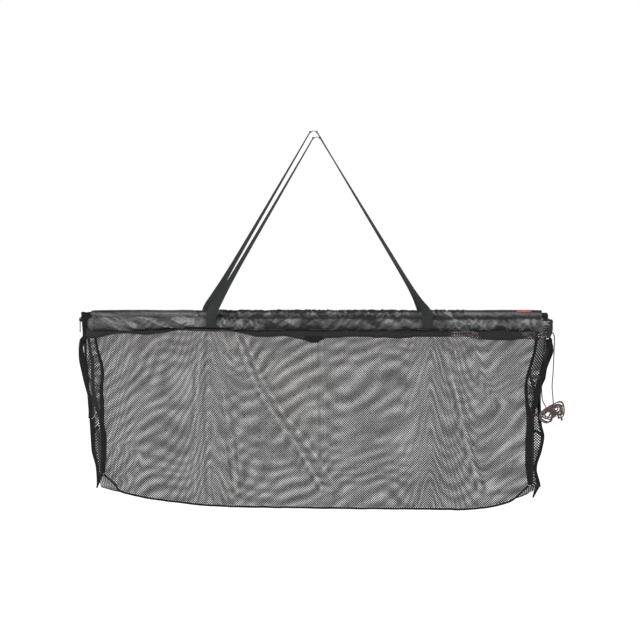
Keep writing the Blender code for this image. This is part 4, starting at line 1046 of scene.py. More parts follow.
def rear_wrinkles(x, s):
    height = zone(x, -0.70, -0.31, 0.03) * 0.0010 * folds(x, s, 10, 0.12, 0.008, 53)
    busy = zone(x, -0.31, 0.24, 0.02)
    height = height + busy * (0.0017 * folds(x, s, 58, 0.016, 0.0055, 61)
                              + 0.0012 * folds(x, s, -35, 0.020, 0.0060, 63))
    streaks = zone(x, 0.27, 0.38, 0.012)
    height = height + streaks * 0.0020 * folds(x, s, 62, 0.03, 0.0060, 71)
    height = height + smooth_step(x, 0.36, 0.42) * 0.0006 * folds(x, s, 6, 0.08, 0.010, 77)
    return 0.0006 + height


def front_painted_shade(x, turn, height):
    """Painted shade and light on the front sleeve's cloth: painted shade along its top and its underside,
    painted shade in the folds' valleys and painted light on their ridges, darker in the middle and paler on
    the upper front near its right end. Below 0 the cloth is also rougher, and from 0.1 up it takes painted
    silvery highlights and sharper creases.
    """
    turn = np.abs(turn)
    busy = smooth_step(x, -0.31, -0.19)
    right = smooth_step(x, 0.22, 0.34)
    # Painted shade along the top, broad over the middle and right, narrow on the left.
    tone = -1.25 * busy * (1 - smooth_step(turn, 30.0, 50.0))
    tone = tone - 0.60 * (1 - busy) * (1 - smooth_step(turn, 8.0, 24.0))
    tone = tone - 0.30 * smooth_step(turn, 112.0, 150.0)
    tone = tone - 0.30 * zone(x, -0.24, 0.24, 0.05) + 0.02 * right
    tone = tone - (0.20 * busy + 0.28 * right) * smooth_step(turn, 78.0, 120.0)
    tone = tone - 0.95 * right * (1 - smooth_step(turn, 38.0, 60.0))
    tone = tone + 0.25 * smooth_step(x, 0.54, 0.58) * (1 - smooth_step(turn, 60.0, 110.0))
    # Painted shade in the folds' valleys and painted light on their ridges.
    return tone + np.clip(height / 0.0020, -0.75, 0.9)


def rear_painted_shade(x, turn, height):
    # Painted shade and light on the rear sleeve's cloth: painted shade along its top and from its lower front
    # round underneath, a band of painted light between them, darker in the middle and paler towards its right
    # end.
    turn = np.abs(turn)
    busy = smooth_step(x, -0.31, -0.19)
    tone = -(0.70 + 0.35 * busy) * (1 - smooth_step(turn, 34.0, 48.0))
    tone = tone - (0.10 + 0.30 * busy) * smooth_step(turn, 70.0, 86.0)
    tone = tone + 0.24 * zone(turn, 50.0, 70.0, 6.0)
    tone = tone - 0.28 * zone(x, -0.24, 0.24, 0.05) + 0.12 * smooth_step(x, 0.24, 0.34) + 0.02
    # Painted shade in the folds' valleys and painted light on their ridges.
    return tone + np.clip(height / 0.0019, -0.75, 0.85)


def sleeve_ring(x, bar, radii, turns):
    """A ring about a bar, drawn up from below where the front sleeve has its dent."""
    y = bar[0] - radii * np.sin(turns)
    z = radii * np.cos(turns)
    low = np.clip(-z / SLEEVE_RADIUS, 0.0, 1.0)
    return xyz(x, y, bar[1] + z + dent(x, bar) * low * low)


def make_sleeve(name, node, body, bar, ends, feet, wrinkles, kind, gathered):
    """A float sleeve of wrinkled cloth, closed at its left end and gathered or open at its right."""
    # kind gives each ring painted shade and light from its turn about the bar and its folds' height; the
    # cloth's material reads it from the third coordinate.
    sides = 72
    turns = 2 * np.pi * np.arange(sides) / sides
    arc = turns * SLEEVE_RADIUS
    degrees = np.degrees((turns + np.pi) % (2 * np.pi) - np.pi)
    left, right = ends
    base = SLEEVE_RADIUS - 0.0005
    nose = left + SLEEVE_NOSE
    rings = []
    cloth = []

    def add_ring(x, radii, tone, mark=None, drop=0.0):
        centre = (bar[0], bar[1] - drop) if drop else bar
        rings.append(sleeve_ring(x, centre, radii, turns))
        cloth.append(xyz(x if mark is None else mark, arc, tone))

    for angle in np.linspace(0.0, math.pi / 2, 9):
        x = nose - SLEEVE_NOSE * math.cos(angle)
        share = 0.05 + 0.95 * math.sin(angle) ** 0.8
        pleat = 0.0007 * np.cos(16 * turns + 2 * np.sin(3 * turns)) * math.sin(2 * angle)
        add_ring(x, base * share + pleat, kind(x, degrees, pleat * 0.5))
    for x in np.arange(nose + 0.0018, right, 0.0020):
        quiet = foot_quiet(x, feet)
        height = wrinkles(x, arc) * quiet * smooth_step(x, nose, nose + 0.03)
        tone = kind(x, degrees, height - 0.0008)
        least = FLOAT_RADIUS + 0.0003
        if gathered:
            close = float(smooth_step(x, right - 0.036, right))
            pleat = np.cos(13 * turns + 1.5 * np.sin(2 * turns) + 40 * (x - right))
            height = height - 0.0035 * close + 0.0018 * close * pleat
            # Painted light on the gathered end's pleat crests and painted shade between them.
            tone = tone + 0.35 * close * pleat
            least -= 0.0050 if x > right - 0.018 else 0.0
        else:
            close = 0.0
            end = smooth_step(x, right - 0.030, right - 0.004)
            height = height * (1 - end) + 0.0003 * np.cos(5 * turns) * end
        radii = np.clip(base + height, least, SLEEVE_RADIUS + 0.0001 + 0.004 * quiet)
        add_ring(x, radii, tone, drop=GATHER_DROP * close)
    if gathered:
        add_ring(right, 0.0110, tone, drop=GATHER_DROP)
    else:
        # The open end's lip turns inwards and is painted darker, as shade.
        for x, radius in ((right, base + 0.0002), (right + 0.0004, base - 0.0003), (right, base - 0.0008),
                          (right - 0.0060, base - 0.0009), (right - 0.0110, base - 0.0010)):
            add_ring(x, radius, -0.3, mark=2 * right - x)
    faces = closed_faces(len(rings), sides)
    if not gathered:
        faces.pop()
    settle(add_mesh(name, rings, faces, CLOTH, cloth, 60.0), "coated_cloth", body, node)


def on_sleeve(x, bar, turn, lift=0.0006):
    """A point just off a sleeve, at an angle in degrees from its top towards the front."""
    radius = SLEEVE_RADIUS + lift
    a = math.radians(turn)
    low = max(-math.cos(a), 0.0)
    return (x, bar[0] - radius * math.sin(a), bar[1] + radius * math.cos(a) + float(dent(x, bar)) * low * low)


def make_foam(name, node, body, bar, left, right):
    """A foam bar with rounded ends, a dimpled skin and a bore for its rod."""
    sides = 40
    turns = 2 * np.pi * np.arange(sides) / sides
    bore = 0.0063
    profile = [(left + 0.0010, bore), (left, bore + 0.001), (left, FLOAT_RADIUS - 0.0025),
               (left + 0.0008, FLOAT_RADIUS - 0.0008), (left + 0.0025, FLOAT_RADIUS)]
    for x in np.arange(left + 0.02, right - 0.015, 0.02):
        profile.append((x, FLOAT_RADIUS - 0.0002 * abs(math.sin(x * 61))))
    profile += [(right - 0.0025, FLOAT_RADIUS), (right - 0.0008, FLOAT_RADIUS - 0.0008),
                (right, FLOAT_RADIUS - 0.0025), (right, bore + 0.001), (right - 0.0010, bore)]
    profile += [(x, bore) for x in np.linspace(right - 0.02, left + 0.02, 12)]
    rings = [sleeve_ring(x, bar, radius, turns) for x, radius in profile]
    count = len(rings) * sides
    faces = [tuple(k % count for k in face) for face in grid_faces(len(rings) + 1, sides, wrap=True)]
    made = settle(add_mesh(name, np.concatenate(rings), faces, FOAM, None, 50.0), "foam", body, node)


# Hems, with the draw cord inside them

FRONT_HEM_EDGE = (
    (80, 341.4), (92, 339.6), (98, 337.8), (104, 336.5), (111, 334.8), (118, 333.9), (130, 333.8),
    (148, 334.8), (156, 333.8), (164, 332.9), (170, 331.8), (176, 330.6), (188, 329.1), (206, 329.0),
    (224, 329.9), (230, 330.4), (236, 332.3), (248, 334.9), (254, 336.4), (262, 337.2), (272, 336.8),
    (284, 336.3), (290, 337.0), (296, 338.4), (304, 340.4), (313, 341.4), (321, 340.3), (327, 338.2),
    (338, 337.7), (350, 336.8), (368, 337.0), (376, 338.0), (386, 337.7), (399, 338.8), (410, 337.7),
    (418, 337.0), (440, 337.0), (462, 337.0), (470, 337.6), (476, 339.0), (486, 339.8), (506, 340.5),
    (513, 340.5), (519, 339.2), (530, 339.2), (538, 340.4), (556, 340.4),
)


def hem_top(bar, xs):
    return bar[1] - SLEEVE_RADIUS - 0.0002 + dent(xs, bar) + 0.0045 * (1 - smooth_step(xs, -0.586, -0.570))


def hem_edge(bar, xs):
    """Height of a hem's lower edge along X."""
    if bar is not FRONT_BAR:
        sway = noise(xs / 0.09, 0 * xs, 5.0) * smooth_step(HEM_HALF - np.abs(xs), 0.0, 0.04)
        return hem_low(bar) + 0.0020 * sway
    spots = [at_pixel(px, py, bar[0] - 0.003) for px, py in FRONT_HEM_EDGE]
    edge = np.interp(xs, *smooth_route(spots, 0.004).T)
    ends = smooth_step(np.abs(xs), HEM_HALF - 0.012, HEM_HALF)
    return np.minimum(edge * (1 - ends) + hem_low(bar) * ends, hem_top(bar, xs) - HEM_LEAST)


def hem_shape(bar, xs):
    """A hem's top, lower edge, cord channel and sway at places along it."""
    top = hem_top(bar, xs)
    low = hem_edge(bar, xs)
    channel = low + np.minimum(CHANNEL_RISE, (top - low) * 0.45)
    sway = 0.0012 * noise(xs / 0.05, 0 * xs, 8.0) * smooth_step(HEM_HALF - np.abs(xs), 0.0, 0.05)
    return np.stack([xs, top, low, channel, sway], axis=1)


HEM_WINDOWS = ((450, 480), (521, 547))  # places in the picture where the red cord shows


def hem_window(x):
    """How far the front hem's net is worn open over its cord."""
    spots = [[picture_x(px) for px in pair] for pair in HEM_WINDOWS]
    worn = float(sum(zone(x, low, high, 0.012) for low, high in spots))
    return max(worn, 0.12 + 0.15 * noise(x / 0.03, 0.0, 71.0))


def make_hem(word, bar, body):
    over = 1.0 if bar is FRONT_BAR else 0.0
    rows = []
    marks = []
    route = []
    for x, top, low, channel, sway in hem_shape(
            bar, np.linspace(-HEM_HALF - 0.0130 * over, HEM_HALF + 0.0150 * over, 430)):
        tall = top - low
        full = 0.0030 * (0.75 + 0.25 * smooth_step(tall, 0.006, 0.016))
        outline = (
            (0.0008, top), (0.0013, top - tall * 0.25), (0.0018, (top + channel) / 2),
            (full * 0.95, channel + tall * 0.08), (full, channel), (full * 0.85, channel - tall * 0.12),
            (0.0012, low + 0.0012), (0.0004, low),
        )
        ring = [(-y, z) for y, z in outline] + list(outline[::-1])
        rows.append([(x, bar[0] + y + sway, z) for y, z in ring])
        window = hem_window(x) if bar is FRONT_BAR else 0.3
        marks.append([(x, k * 0.0045, window) for k in range(len(ring))])
        if abs(x) <= HEM_HALF:
            ends = smooth_step(abs(x), HEM_HALF - 0.03, HEM_HALF)
            route.append((x, bar[0] + sway, channel * (1 - ends) + channel_z(bar) * ends))
    made = sheet_mesh(word + "_hem_band", np.array(rows), HEM_NET, marks)
    settle(made, "hem_net", body, word + "_hem")
    1.15 + 0.03 * over
    word + "_sleeve"
    settle(tube(word + "_draw_cord", route, CORD_RADIUS, RED_CORD), "red_cord", body, word + "_hem_cord")


def blend_along(start, rate):
    """A motion that only bakes a piece's place into its mesh. Start and rate are not used."""
    rate = np.array((0.0, *rate))
    start = np.array((0.0, FRONT_BAR[0], start))
    return lambda piece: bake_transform(piece)


# Mesh walls

FOLD_LINES = (
    # places in the photograph, width and height in metres
    (((200, 415), (205, 450), (212, 490)), 0.010, 0.0050),
    (((216, 405), (222, 440), (226, 475)), 0.008, -0.0040),
    (((300, 360), (310, 420), (322, 480)), 0.014, 0.0045),
    (((330, 350), (334, 420), (338, 485)), 0.010, -0.0040),
    (((110, 350), (150, 385), (190, 440)), 0.012, 0.0040),
    (((140, 345), (185, 380), (235, 425)), 0.010, -0.0035),
    (((380, 470), (430, 455), (480, 420), (505, 380)), 0.012, 0.0045),
    (((400, 495), (450, 480), (495, 450), (515, 415)), 0.010, -0.0040),
    (((420, 350), (440, 390), (450, 430)), 0.012, 0.0030),
)


def fold_height(x, z):
    """How far the front wall's net stands out along its folds."""
    total = np.zeros_like(x)
    for spots, width, height in FOLD_LINES:
        route = picture_edge(spots, 0.0, 0.004)
        near = np.full(x.shape, 1.0)
        share = np.zeros(x.shape)
        for k, spot in enumerate(route):
            away = np.hypot(x - spot[0], z - spot[1])
            closer = away < near
            near = np.where(closer, away, near)
            share = np.where(closer, k / (len(route) - 1), share)
        taper = np.clip(np.minimum(share, 1 - share) * 4 + 0.25, 0, 1)
        total = total + height * np.exp(-(near / width) ** 2) * taper
    return total


def panel_points(bar, side, columns, rows):
    """A wall's X, depth and Z on a grid, its share of the way down and its freedom from the edges."""
    edge = bottom_line(columns)
    top = hem_edge(bar, edge[:, 0] * 1.02) + 0.0012
    down = np.linspace(0.0, 1.0, rows)[:, None]
    z = top + (edge[:, 1] - top) * down
    reach = np.zeros_like(z)
    gap = np.zeros_like(z)
    limit = np.zeros(columns)
    for hand in (-1, 1):
        mine = np.sign(edge[:, 0]) == hand
        reach[:, mine] = binding_x(z[:, mine], hand, side)
        gap[:, mine] = edge_gap(z[:, mine], hand)
        limit[mine] = binding_x(edge[mine, 1], hand, side)
    x = edge[:, 0] / limit * (reach + 0.0012)
    inner = 1 - np.clip(np.abs(x) / reach, 0, 1) ** 4
    hollow = gap + (BOTTOM_HALF_GAP - gap) * down**6 * inner
    return x, hollow + PANEL_BULGE * np.sin(np.pi * down) * inner, z, down, inner


# How the two walls' nets have slipped against each other, which shows as a grain of fine
# lines. The first table is the height of the grain's lines across the sack, the second
# holds single pulled lines with their width and strength, all in the picture's pixels.
GRAIN_RISE = (
    (95, 215), (108, 190), (118, 150), (128, 122), (138, 112), (150, 104), (165, 96), (178, 82),
    (188, 64), (196, 40), (203, 18), (209, 0), (215, 19), (222, 38), (230, 55), (240, 64),
    (255, 66), (280, 58), (320, 38), (360, 18), (400, 0), (410, -12), (418, -34), (425, -58),
    (431, -78), (437, -56), (445, -26), (455, 8), (465, 36), (474, 52), (480, 56), (488, 52),
    (500, 38), (515, 24), (527, 14), (540, 8),
)
GRAIN_LINES = (
    (((237, 335), (253, 378), (275, 417), (300, 452), (322, 490)), 5.0, 0.5),
    (((244, 335), (262, 384), (284, 420), (312, 458), (334, 492)), 5.0, -0.3),
    (((445, 335), (458, 400), (470, 455), (482, 492), (505, 470), (524, 455)), 4.0, 0.9),
    (((470, 335), (482, 380), (497, 402), (515, 396), (526, 385)), 4.0, 0.9),
    (((106, 448), (122, 446), (138, 456), (136, 470), (120, 480)), 3.5, 0.9),
)
WORN_LINES = (  # creases where the net is drawn thin, each with its strength
    (((236, 335), (252, 378), (274, 417), (300, 452), (322, 490)), 0.65),
    (((244, 335), (262, 382), (284, 415), (314, 455), (338, 492)), 0.50),
    (((200, 345), (196, 400), (194, 495)), 0.35),
    (((206, 335), (203, 400), (205, 495)), -0.40),
    (((209, 345), (222, 390), (230, 440), (236, 495)), 0.30),
    (((318, 338), (319, 400), (320, 470)), -0.25),
    (((445, 345), (458, 400), (470, 455), (482, 492)), 0.55),
)
GRAIN_FIRST = 13.0      # pixels to one line of the first family of threads
GRAIN_SECOND = 15.0
FOOT_PIXELS = (207, 430)    # where the straps' feet draw the grain together
FOOT_SPREAD = 26
NET_SLIP = 0.33         # most that the rear net's threads lie beside the front net's, in pitches


def off_line(px, py, spots):
    """Distance of places from a broken line."""
    best = np.full(px.shape, 1e9)
    points = np.array(spots, dtype=float)
    for start, end in zip(points[:-1], points[1:]):
        step = end - start
        share = np.clip(((px - start[0]) * step[0] + (py - start[1]) * step[1]) / step.dot(step), 0, 1)
        best = np.minimum(best, np.hypot(px - start[0] - share * step[0], py - start[1] - share * step[1]))
    return best


def net_slip(x, z):
    """The rear net's slip against the front one's, across and down, in metres."""
    px, py = picture_place(x, z)
    spots = np.arange(80.0, 560.0, 0.5)
    rise = np.interp(px, spots, rounded(read_table(spots, GRAIN_RISE), 12, 5.0))
    first = (py - rise) / GRAIN_FIRST
    first = first + 0.8 * noise(px / 60, py / 45, 3.0) + 0.35 * noise(px / 24, py / 22, 5.0)
    foot = sum(np.exp(-((px - place) / FOOT_SPREAD) ** 2) for place in FOOT_PIXELS)
    second = (py - (0.35 + 0.65 * foot) * rise + 0.25 * (1 - foot) * (px - FOOT_PIXELS[0])) / GRAIN_SECOND
    second = second + 1.5 * noise(px / 60, py / 45, 9.0) + 0.5 * noise(px / 26, py / 22, 12.0)
    for line, width, size in GRAIN_LINES:
        pull = size * np.exp(-(off_line(px, py, line) / width) ** 2)
        first = first + pull
        second = second + 0.5 * pull
    first, second = [NET_SLIP * (0.5 + 0.5 * np.sin(2 * np.pi * part)) for part in (first, second)]
    return NET_PITCH * (first + second) / math.sqrt(2), NET_PITCH * (first - second) / math.sqrt(2)


def worn_share(x, z):
    """Where the walls' nets are drawn thin along a crease, and close together beside it."""
    worn = np.zeros_like(x)
    for line, strength in WORN_LINES:
        away = off_line(*picture_place(x, z), line)
        worn = worn + strength * (np.exp(-(away / 1.5) ** 2) - 0.6 * np.exp(-((away - 3.8) / 1.7) ** 2))
    return np.clip(worn, -0.6, 0.9)


def make_panel(word, bar, side, seed):
    x, depth, z, down, inner = panel_points(bar, side, 400, 160)
    room = np.clip(depth / 0.012, 0, 1) * np.sin(np.pi * down) ** 0.6 * inner
    swell = 0.0018 * layered(x / 0.16, z / 0.22, seed)
    if side < 0:
        pulls = 0.0036 * noise(x / 0.030, z / 0.30, seed + 40) * (1 - down) ** 2
        depth = depth + room * (fold_height(x, z) + swell + pulls)
    else:
        depth = depth + room * (2 * swell + 0.003 * noise(x / 0.05 + z / 0.12, z / 0.3, seed + 60))
    y = side * np.maximum(depth, 0.0016)
    seen_across, seen_down = seen_place(x, y, z)
    across, downward = net_slip(x, z)
    cloth = xyz(seen_across + side * across / 2, seen_down + side * downward / 2, worn_share(x, z))
    made = sheet_mesh(word + "_wall_net", xyz(x, y, z), NET, cloth)
    settle(made, "net", PANEL_MOTION[side], word + "_mesh")
    word + "_hem"


# Ends of the sack

PANEL_MOTION = {-1: blend_along(-0.7674, (-26.0, 3.9)), 1: "bag"}
WING_MOTION = {-1: blend_along(-0.511 - 1.0 / 2.3, (-111.0, 2.3)), 1: "bag"}
END_NET_SHIFT = np.array((0.0009, 0.0006, 0.0))     # of each end net's threads, to its own side

# Edges and routes of the tapes, as places in the picture
FLAP_DEPTH = -0.007
FLAP_OUTER = (
    (81.3, 336.0), (79.2, 343.0), (78.6, 350.0), (78.7, 356.0), (79.3, 362.0), (80.6, 368.0),
    (82.4, 376.0), (84.3, 384.0), (86.6, 392.0), (88.6, 400.0), (88.7, 410.0), (88.4, 418.0),
)
FLAP_INNER = (
    (90.3, 312.0), (90.3, 328.0), (89.0, 335.0), (84.6, 340.5), (83.0, 345.0), (83.4, 350.0),
    (84.8, 356.0), (85.9, 362.0), (87.1, 368.0), (88.5, 376.0), (88.9, 384.0), (89.8, 391.0),
    (93.0, 399.0), (94.0, 409.0), (93.0, 418.0),
)
RIGHT_FOLD_EDGE = (
    (549.0, 337.5), (547.2, 342.5), (546.0, 348.5), (542.2, 361.6), (538.8, 375.0), (536.6, 388.0),
    (537.6, 394.0), (539.2, 399.0), (539.5, 408.0), (539.4, 418.5), (540.0, 426.0), (540.8, 432.0),
    (541.0, 441.9), (537.6, 454.0), (533.4, 468.0), (536.6, 483.4), (537.0, 489.0),
)
FOLD_TURN = (       # with half the tape's width, in pixels too
    (539.2, 380.0, 2.4), (538.4, 388.0, 2.7), (537.2, 395.0, 2.8), (535.4, 402.0, 2.8), (533.2, 408.4, 2.7),
    (531.6, 413.5, 2.6), (530.4, 419.0, 2.4), (529.8, 426.0, 2.0), (529.4, 434.0, 1.6),
)
CROSS_ENDS = {-1: ((93.2, 431.0), (99.0, 427.3)), 1: ((533.0, 430.0), (541.8, 434.0))}


def end_heights(bar, low, step=0.004):
    top = hem_low(bar) - GAP
    count = max(2, round((top - low) / step) + 1)
    return np.linspace(top, low, count)


def make_binding(word, hand_word, hand, bar, side):
    z = end_heights(bar, BINDING_END[hand])
    y = side * edge_gap(z, hand)
    start = binding_x(z, hand, side) + 0.0002 * noise(z / 0.02, 0 * z, 3.0)
    width = binding_width(z, hand)
    shares = np.array((0.0, 0.12, 0.35, 0.65, 0.88, 1.0))
    crown = np.array((0.0, 0.0004, 0.0006, 0.0006, 0.0004, 0.0))
    x = start[:, None] + width[:, None] * shares
    bend = side * crown + 0.0004 * side * noise(z / 0.03, 0 * z, 8.0 + hand)[:, None]
    points = xyz(hand * x, y[:, None] + bend, z[:, None])
    made = ribbon(f"{hand_word}_{word}_edge_tape", points, EDGE_TAPE_THICKNESS, TAPE)
    settle(made, "binding", PANEL_MOTION[side], f"{hand_word}_{word}_binding")
    lines = [xyz(hand * (start + width * share), y + side * 0.0014, z) for share in (0.18, 0.82)]
    sew(f"{hand_word}_{word}_edge_stitches", lines, "binding", PANEL_MOTION[side])


def offset_line(distance, count=140):
    """The lower edge moved outwards by a distance."""
    line = bottom_line(count)
    along = directions(line)
    return line + np.stack([along[:, 1], -along[:, 0]], axis=1) * distance


def wing_rows(hand, bar, side=-1):
    """Pairs of inner and outer points of a gusset's wing, with their half gaps in Y."""
    end = BINDING_END[hand]
    rows = []
    for z in end_heights(bar, end, 0.005):
        inner = float(binding_x(z, hand, side) + binding_width(z, hand)) - 0.0010
        outer = float(fold_x(z, hand) - tape_width(z, hand)) + 0.0010
        apart = float(tape_gap(z, hand))
        if hand < 0 and z > ZIP_BOTTOM:
            outer = float(fold_x(z, hand)) - 0.0040
            apart = 0.0018 + (apart - 0.0017) * 0.5
        rows.append(((inner, z, float(edge_gap(z, hand))), (max(outer, inner + 0.0010), z, apart)))
    low_x, low_z = WING_LOW[hand]
    line = offset_line(0.0025)
    if hand > 0:
        line = line[::-1]
    corner = [(hand * p[0], p[1]) for p in line if hand * p[0] > 0 and low_z - 0.016 < p[1] < end - 0.004]
    for k, (inner_x, inner_z) in enumerate(corner):
        share = (k + 1) / len(corner)
        outer_z = end + share * (low_z - end)
        tape_z = max(outer_z, TAPE_END[hand])
        limit = float(fold_x(tape_z, hand) - tape_width(tape_z, hand)) + 0.0010
        outer_x = limit + share**2 * (low_x - limit)
        y = float(edge_gap(outer_z, hand)) * (1 - share) + 0.0010 * share
        rows.append(((inner_x, inner_z, y), (outer_x, outer_z, y)))
    return rows


def make_wing(word, hand_word, hand, bar, side, seed):
    shares = np.linspace(0, 1, 9)
    points = []
    for k, (inner, outer) in enumerate(wing_rows(hand, bar, side)):
        x, z, y = (np.array(inner)[:, None] + (np.array(outer) - inner)[:, None] * shares)
        sag = np.sin(np.pi * shares) * (0.0012 * math.sin(k * 0.35 + seed) + 0.0006)
        points.append(xyz(hand * x, side * np.maximum(y + sag, 0.0008), z))
    points = np.array(points)
    made = sheet_mesh(f"{hand_word}_{word}_end_net", points, END_NET, cloth_of(points) + side * END_NET_SHIFT)
    settle(made, "net", WING_MOTION[side], f"{hand_word}_{word}_gusset")


def make_zip_teeth():
    """Teeth in turn to the front and the rear along the left fold."""
    pitch = 0.0014
    faces = []
    points = []
    for k in range(round((ZIP_TOP - ZIP_BOTTOM) / pitch)):
        z = ZIP_TOP - (k + 0.5) * pitch
        x = -float(fold_x(z, -1))
        way = 1 if k % 2 else -1
        faces += [tuple(len(points) + corner for corner in face) for face in closed_faces(2, 4)]
        near, far = sorted((way * 0.0028, -way * 0.0008))
        for height, half in ((z - 0.00055, 0.0014), (z + 0.00055, 0.00115)):
            points += [(x - half, near, height), (x + half, near, height),
                       (x + half, far, height), (x - half, far, height)]
    settle(add_mesh("end_zip_teeth", points, faces, PLASTIC, None, 30.0), "plastic", "bag", "left_zip_chain")


def make_zip_tapes():
    z = np.linspace(LEFT_STATIONS[0][0], ZIP_BOTTOM, 90)
    fold = -fold_x(z, -1)
    y_inner = FOLD_HALF + (tape_gap(z, -1) - FOLD_HALF) * 0.5
    for word, side in (("front", -1), ("rear", 1)):
        points = np.stack([xyz(fold + away, side * (0.0020 + (y_inner - FOLD_HALF) * share), z)
                           for away, share in ((0.0046, 1.0), (0.0031, 0.55), (0.0016, 0.0))], axis=1)
        points[0, :, 2] += 0.0012 * noise(np.arange(3) * 3.7, np.zeros(3), 4.0 + side)
        made = ribbon(f"left_{word}_zip_band", points, TAPE_THICKNESS, TAPE)
        settle(made, "binding", "bag", f"left_{word}_zip_tape")


def make_zip_flap():
    """The flap that covers the zip, with its two rows of stitches."""
    z = np.linspace(LEFT_STATIONS[0][0] + 0.0005, at_pixel(0, 418, 0)[1], 110)
    fold = -fold_x(z, -1)
    above = smooth_step(z, -0.512, -0.504)
    inner = edge_at(z, picture_edge(FLAP_INNER, FLAP_DEPTH))
    outer = edge_at(z, picture_edge(FLAP_OUTER, FLAP_DEPTH))
    outer = np.minimum(outer * (1 - above) + (fold - 0.0002) * above, fold)
    over_cord = 0.0128 * np.exp(-((z + 0.509) / 0.012) ** 2)
    rows = []
    for share, depth in ((0.0, 0.0056), (0.4, 0.0070), (0.8, 0.0074), (1.0, 0.0068)):
        wobble = 0.0005 * noise(z / 0.018, 0 * z + share * 3, 12.0)
        rows.append(xyz(inner + (outer - inner) * share, -(depth + wobble + over_cord), z))
    points = np.stack(rows, axis=1)
    points[0, :, 2] += np.array((0.0004, -0.0008, 0.0010, -0.0006))
    settle(ribbon("zip_cover_flap", points, TAPE_THICKNESS, TAPE), "binding", "bag")
    lines = [points[:, 0] + np.array((-0.0012, -0.0012, 0.0)),
             points[:, 3] + np.array((0.0012, -0.0010, 0.0))]
    sew("zip_cover_stitches", lines, "binding", "bag")


def make_fold_tape(hand_word, hand):
    """Tape round an end's fold: below the zip on the left, all the way down on the right."""
    top = ZIP_BOTTOM - GAP if hand < 0 else hem_low(FRONT_BAR) - GAP
    z = np.linspace(top, TAPE_END[hand], 150)
    fold = fold_x(z, hand)
    width = tape_width(z, hand)
    gap = tape_gap(z, hand)
    inner_front = fold - width
    front_gap = gap
    if hand > 0:
        right_edge = np.array([at_pixel(px, py, -0.008) for px, py in RIGHT_FOLD_EDGE])
        inner_front = np.minimum(edge_at(z, right_edge), fold - 0.0040)
        front_gap = gap + 0.0012
    crown = 0.0012
    wobble = 0.0005 * noise(z / 0.025, 0 * z, 31.0 + hand)
    rows = []
    for share in (0.0, 0.5):
        x = inner_front + (fold - crown - inner_front) * share
        rows.append((x, -(front_gap + (FOLD_HALF - front_gap) * share**1.5)))
    rows += [(fold - 0.0008, -0.0016), (fold, 0.0), (fold - 0.0008, 0.0016)]
    for share in (0.5, 1.0):
        rows.append((fold - crown - (width - crown) * share, FOLD_HALF + (gap - FOLD_HALF) * share))
    points = np.stack([xyz(hand * x, y + wobble, z) for x, y in rows], axis=1)
    if hand > 0:
        for k in range(8):
            points[k, :, 2] += (1 - k / 8) * np.array((0.0, 0.003, -0.003, -0.005, -0.005, -0.004, -0.004))
    made = ribbon(f"{hand_word}_fold_band", points, TAPE_THICKNESS, TAPE, 60.0)
    settle(made, "binding", "bag", f"{hand_word}_fold_tape")
    line = points[:, 0] + np.array((hand * 0.0014, -0.0008, 0.0))
    sew(f"{hand_word}_fold_stitches", [line], "binding", "bag")


def make_fold_turn():
    """The right fold's tape where it turns inwards and crosses to the front wall's edge."""
    rows = []
    for px, py, half in smooth_route(FOLD_TURN, 1.0):
        ring = []
        for share in (-1.0, -0.5, 0.0, 0.5, 1.0):
            x, z = at_pixel(px + half * share, py + 0.5 * share, -0.0125)
            ring.append((x, -0.0132 + 0.0010 * share * share - 0.0005 * math.sin(py * 0.35), z))
        rows.append(ring)
    settle(ribbon("right_fold_turn", rows, 0.0010, TAPE, 60.0), "binding", "bag")


def make_cross_tab(hand_word, hand):
    """The short tab from an end's fold to the wall's edge."""
    depth = -0.0125
    places = [at_pixel(px, py, depth) for px, py in CROSS_ENDS[hand]]
    start, end = [np.array((x, depth, z)) for x, z in places]
    (end if hand < 0 else start)[1] -= 0.0015
    shares = np.linspace(0, 1, 12)
    line = start + (end - start) * shares[:, None]
    line[:, 1] -= 0.0006 * np.sin(np.pi * shares)
    points = np.stack([line + np.array((0.0, 0.0, CROSS_HALF * s)) for s in (-1.0, -0.4, 0.4, 1.0)], axis=1)
    made = ribbon(f"{hand_word}_cross_band", points, TAPE_THICKNESS, TAPE)
    settle(made, "binding", "bag", f"{hand_word}_cross_tab")


def make_tape_tip(hand_word, hand):
    """The pointed end of a fold's tape below the corner."""
    top = TAPE_END[hand] if hand > 0 else -0.8660
    outer = float(fold_x(top, hand)) - (0.0 if hand > 0 else 0.0030)
    inner = outer - float(tape_width(top, hand)) - 0.0085 if hand > 0 else 0.5475
    point_x, low = TIP_POINT[hand]
    count = 14
    rows = []
    for share in np.linspace(0.0, 1.0, count):
        z = top + 0.004 + (low - top - 0.004) * share
        left = inner + (point_x - 0.0035 - inner) * share
        right = outer + (point_x - outer) * share
        thick = 0.0019 + (0.0008 if hand > 0 else 0.0062) * (1 - share)
        ring = []
        for turn in np.linspace(0, 2 * math.pi, count, endpoint=False):
            x = (left + right) / 2 + (right - left) / 2 * squared(math.cos(turn), 0.6)
            y = thick * squared(math.sin(turn), 0.8) + 0.0010 * math.sin(share * 5.0)
            ring.append((hand * x, y, z + 0.0007 * math.sin(turn * 3)))
        rows.append(ring)
    points = np.array(rows)
    made = add_mesh(f"{hand_word}_tape_tip", points, closed_faces(count, count), TAPE, cloth_of(points), 50.0)
    settle(made, "binding", "bag", f"{hand_word}_corner_tip")


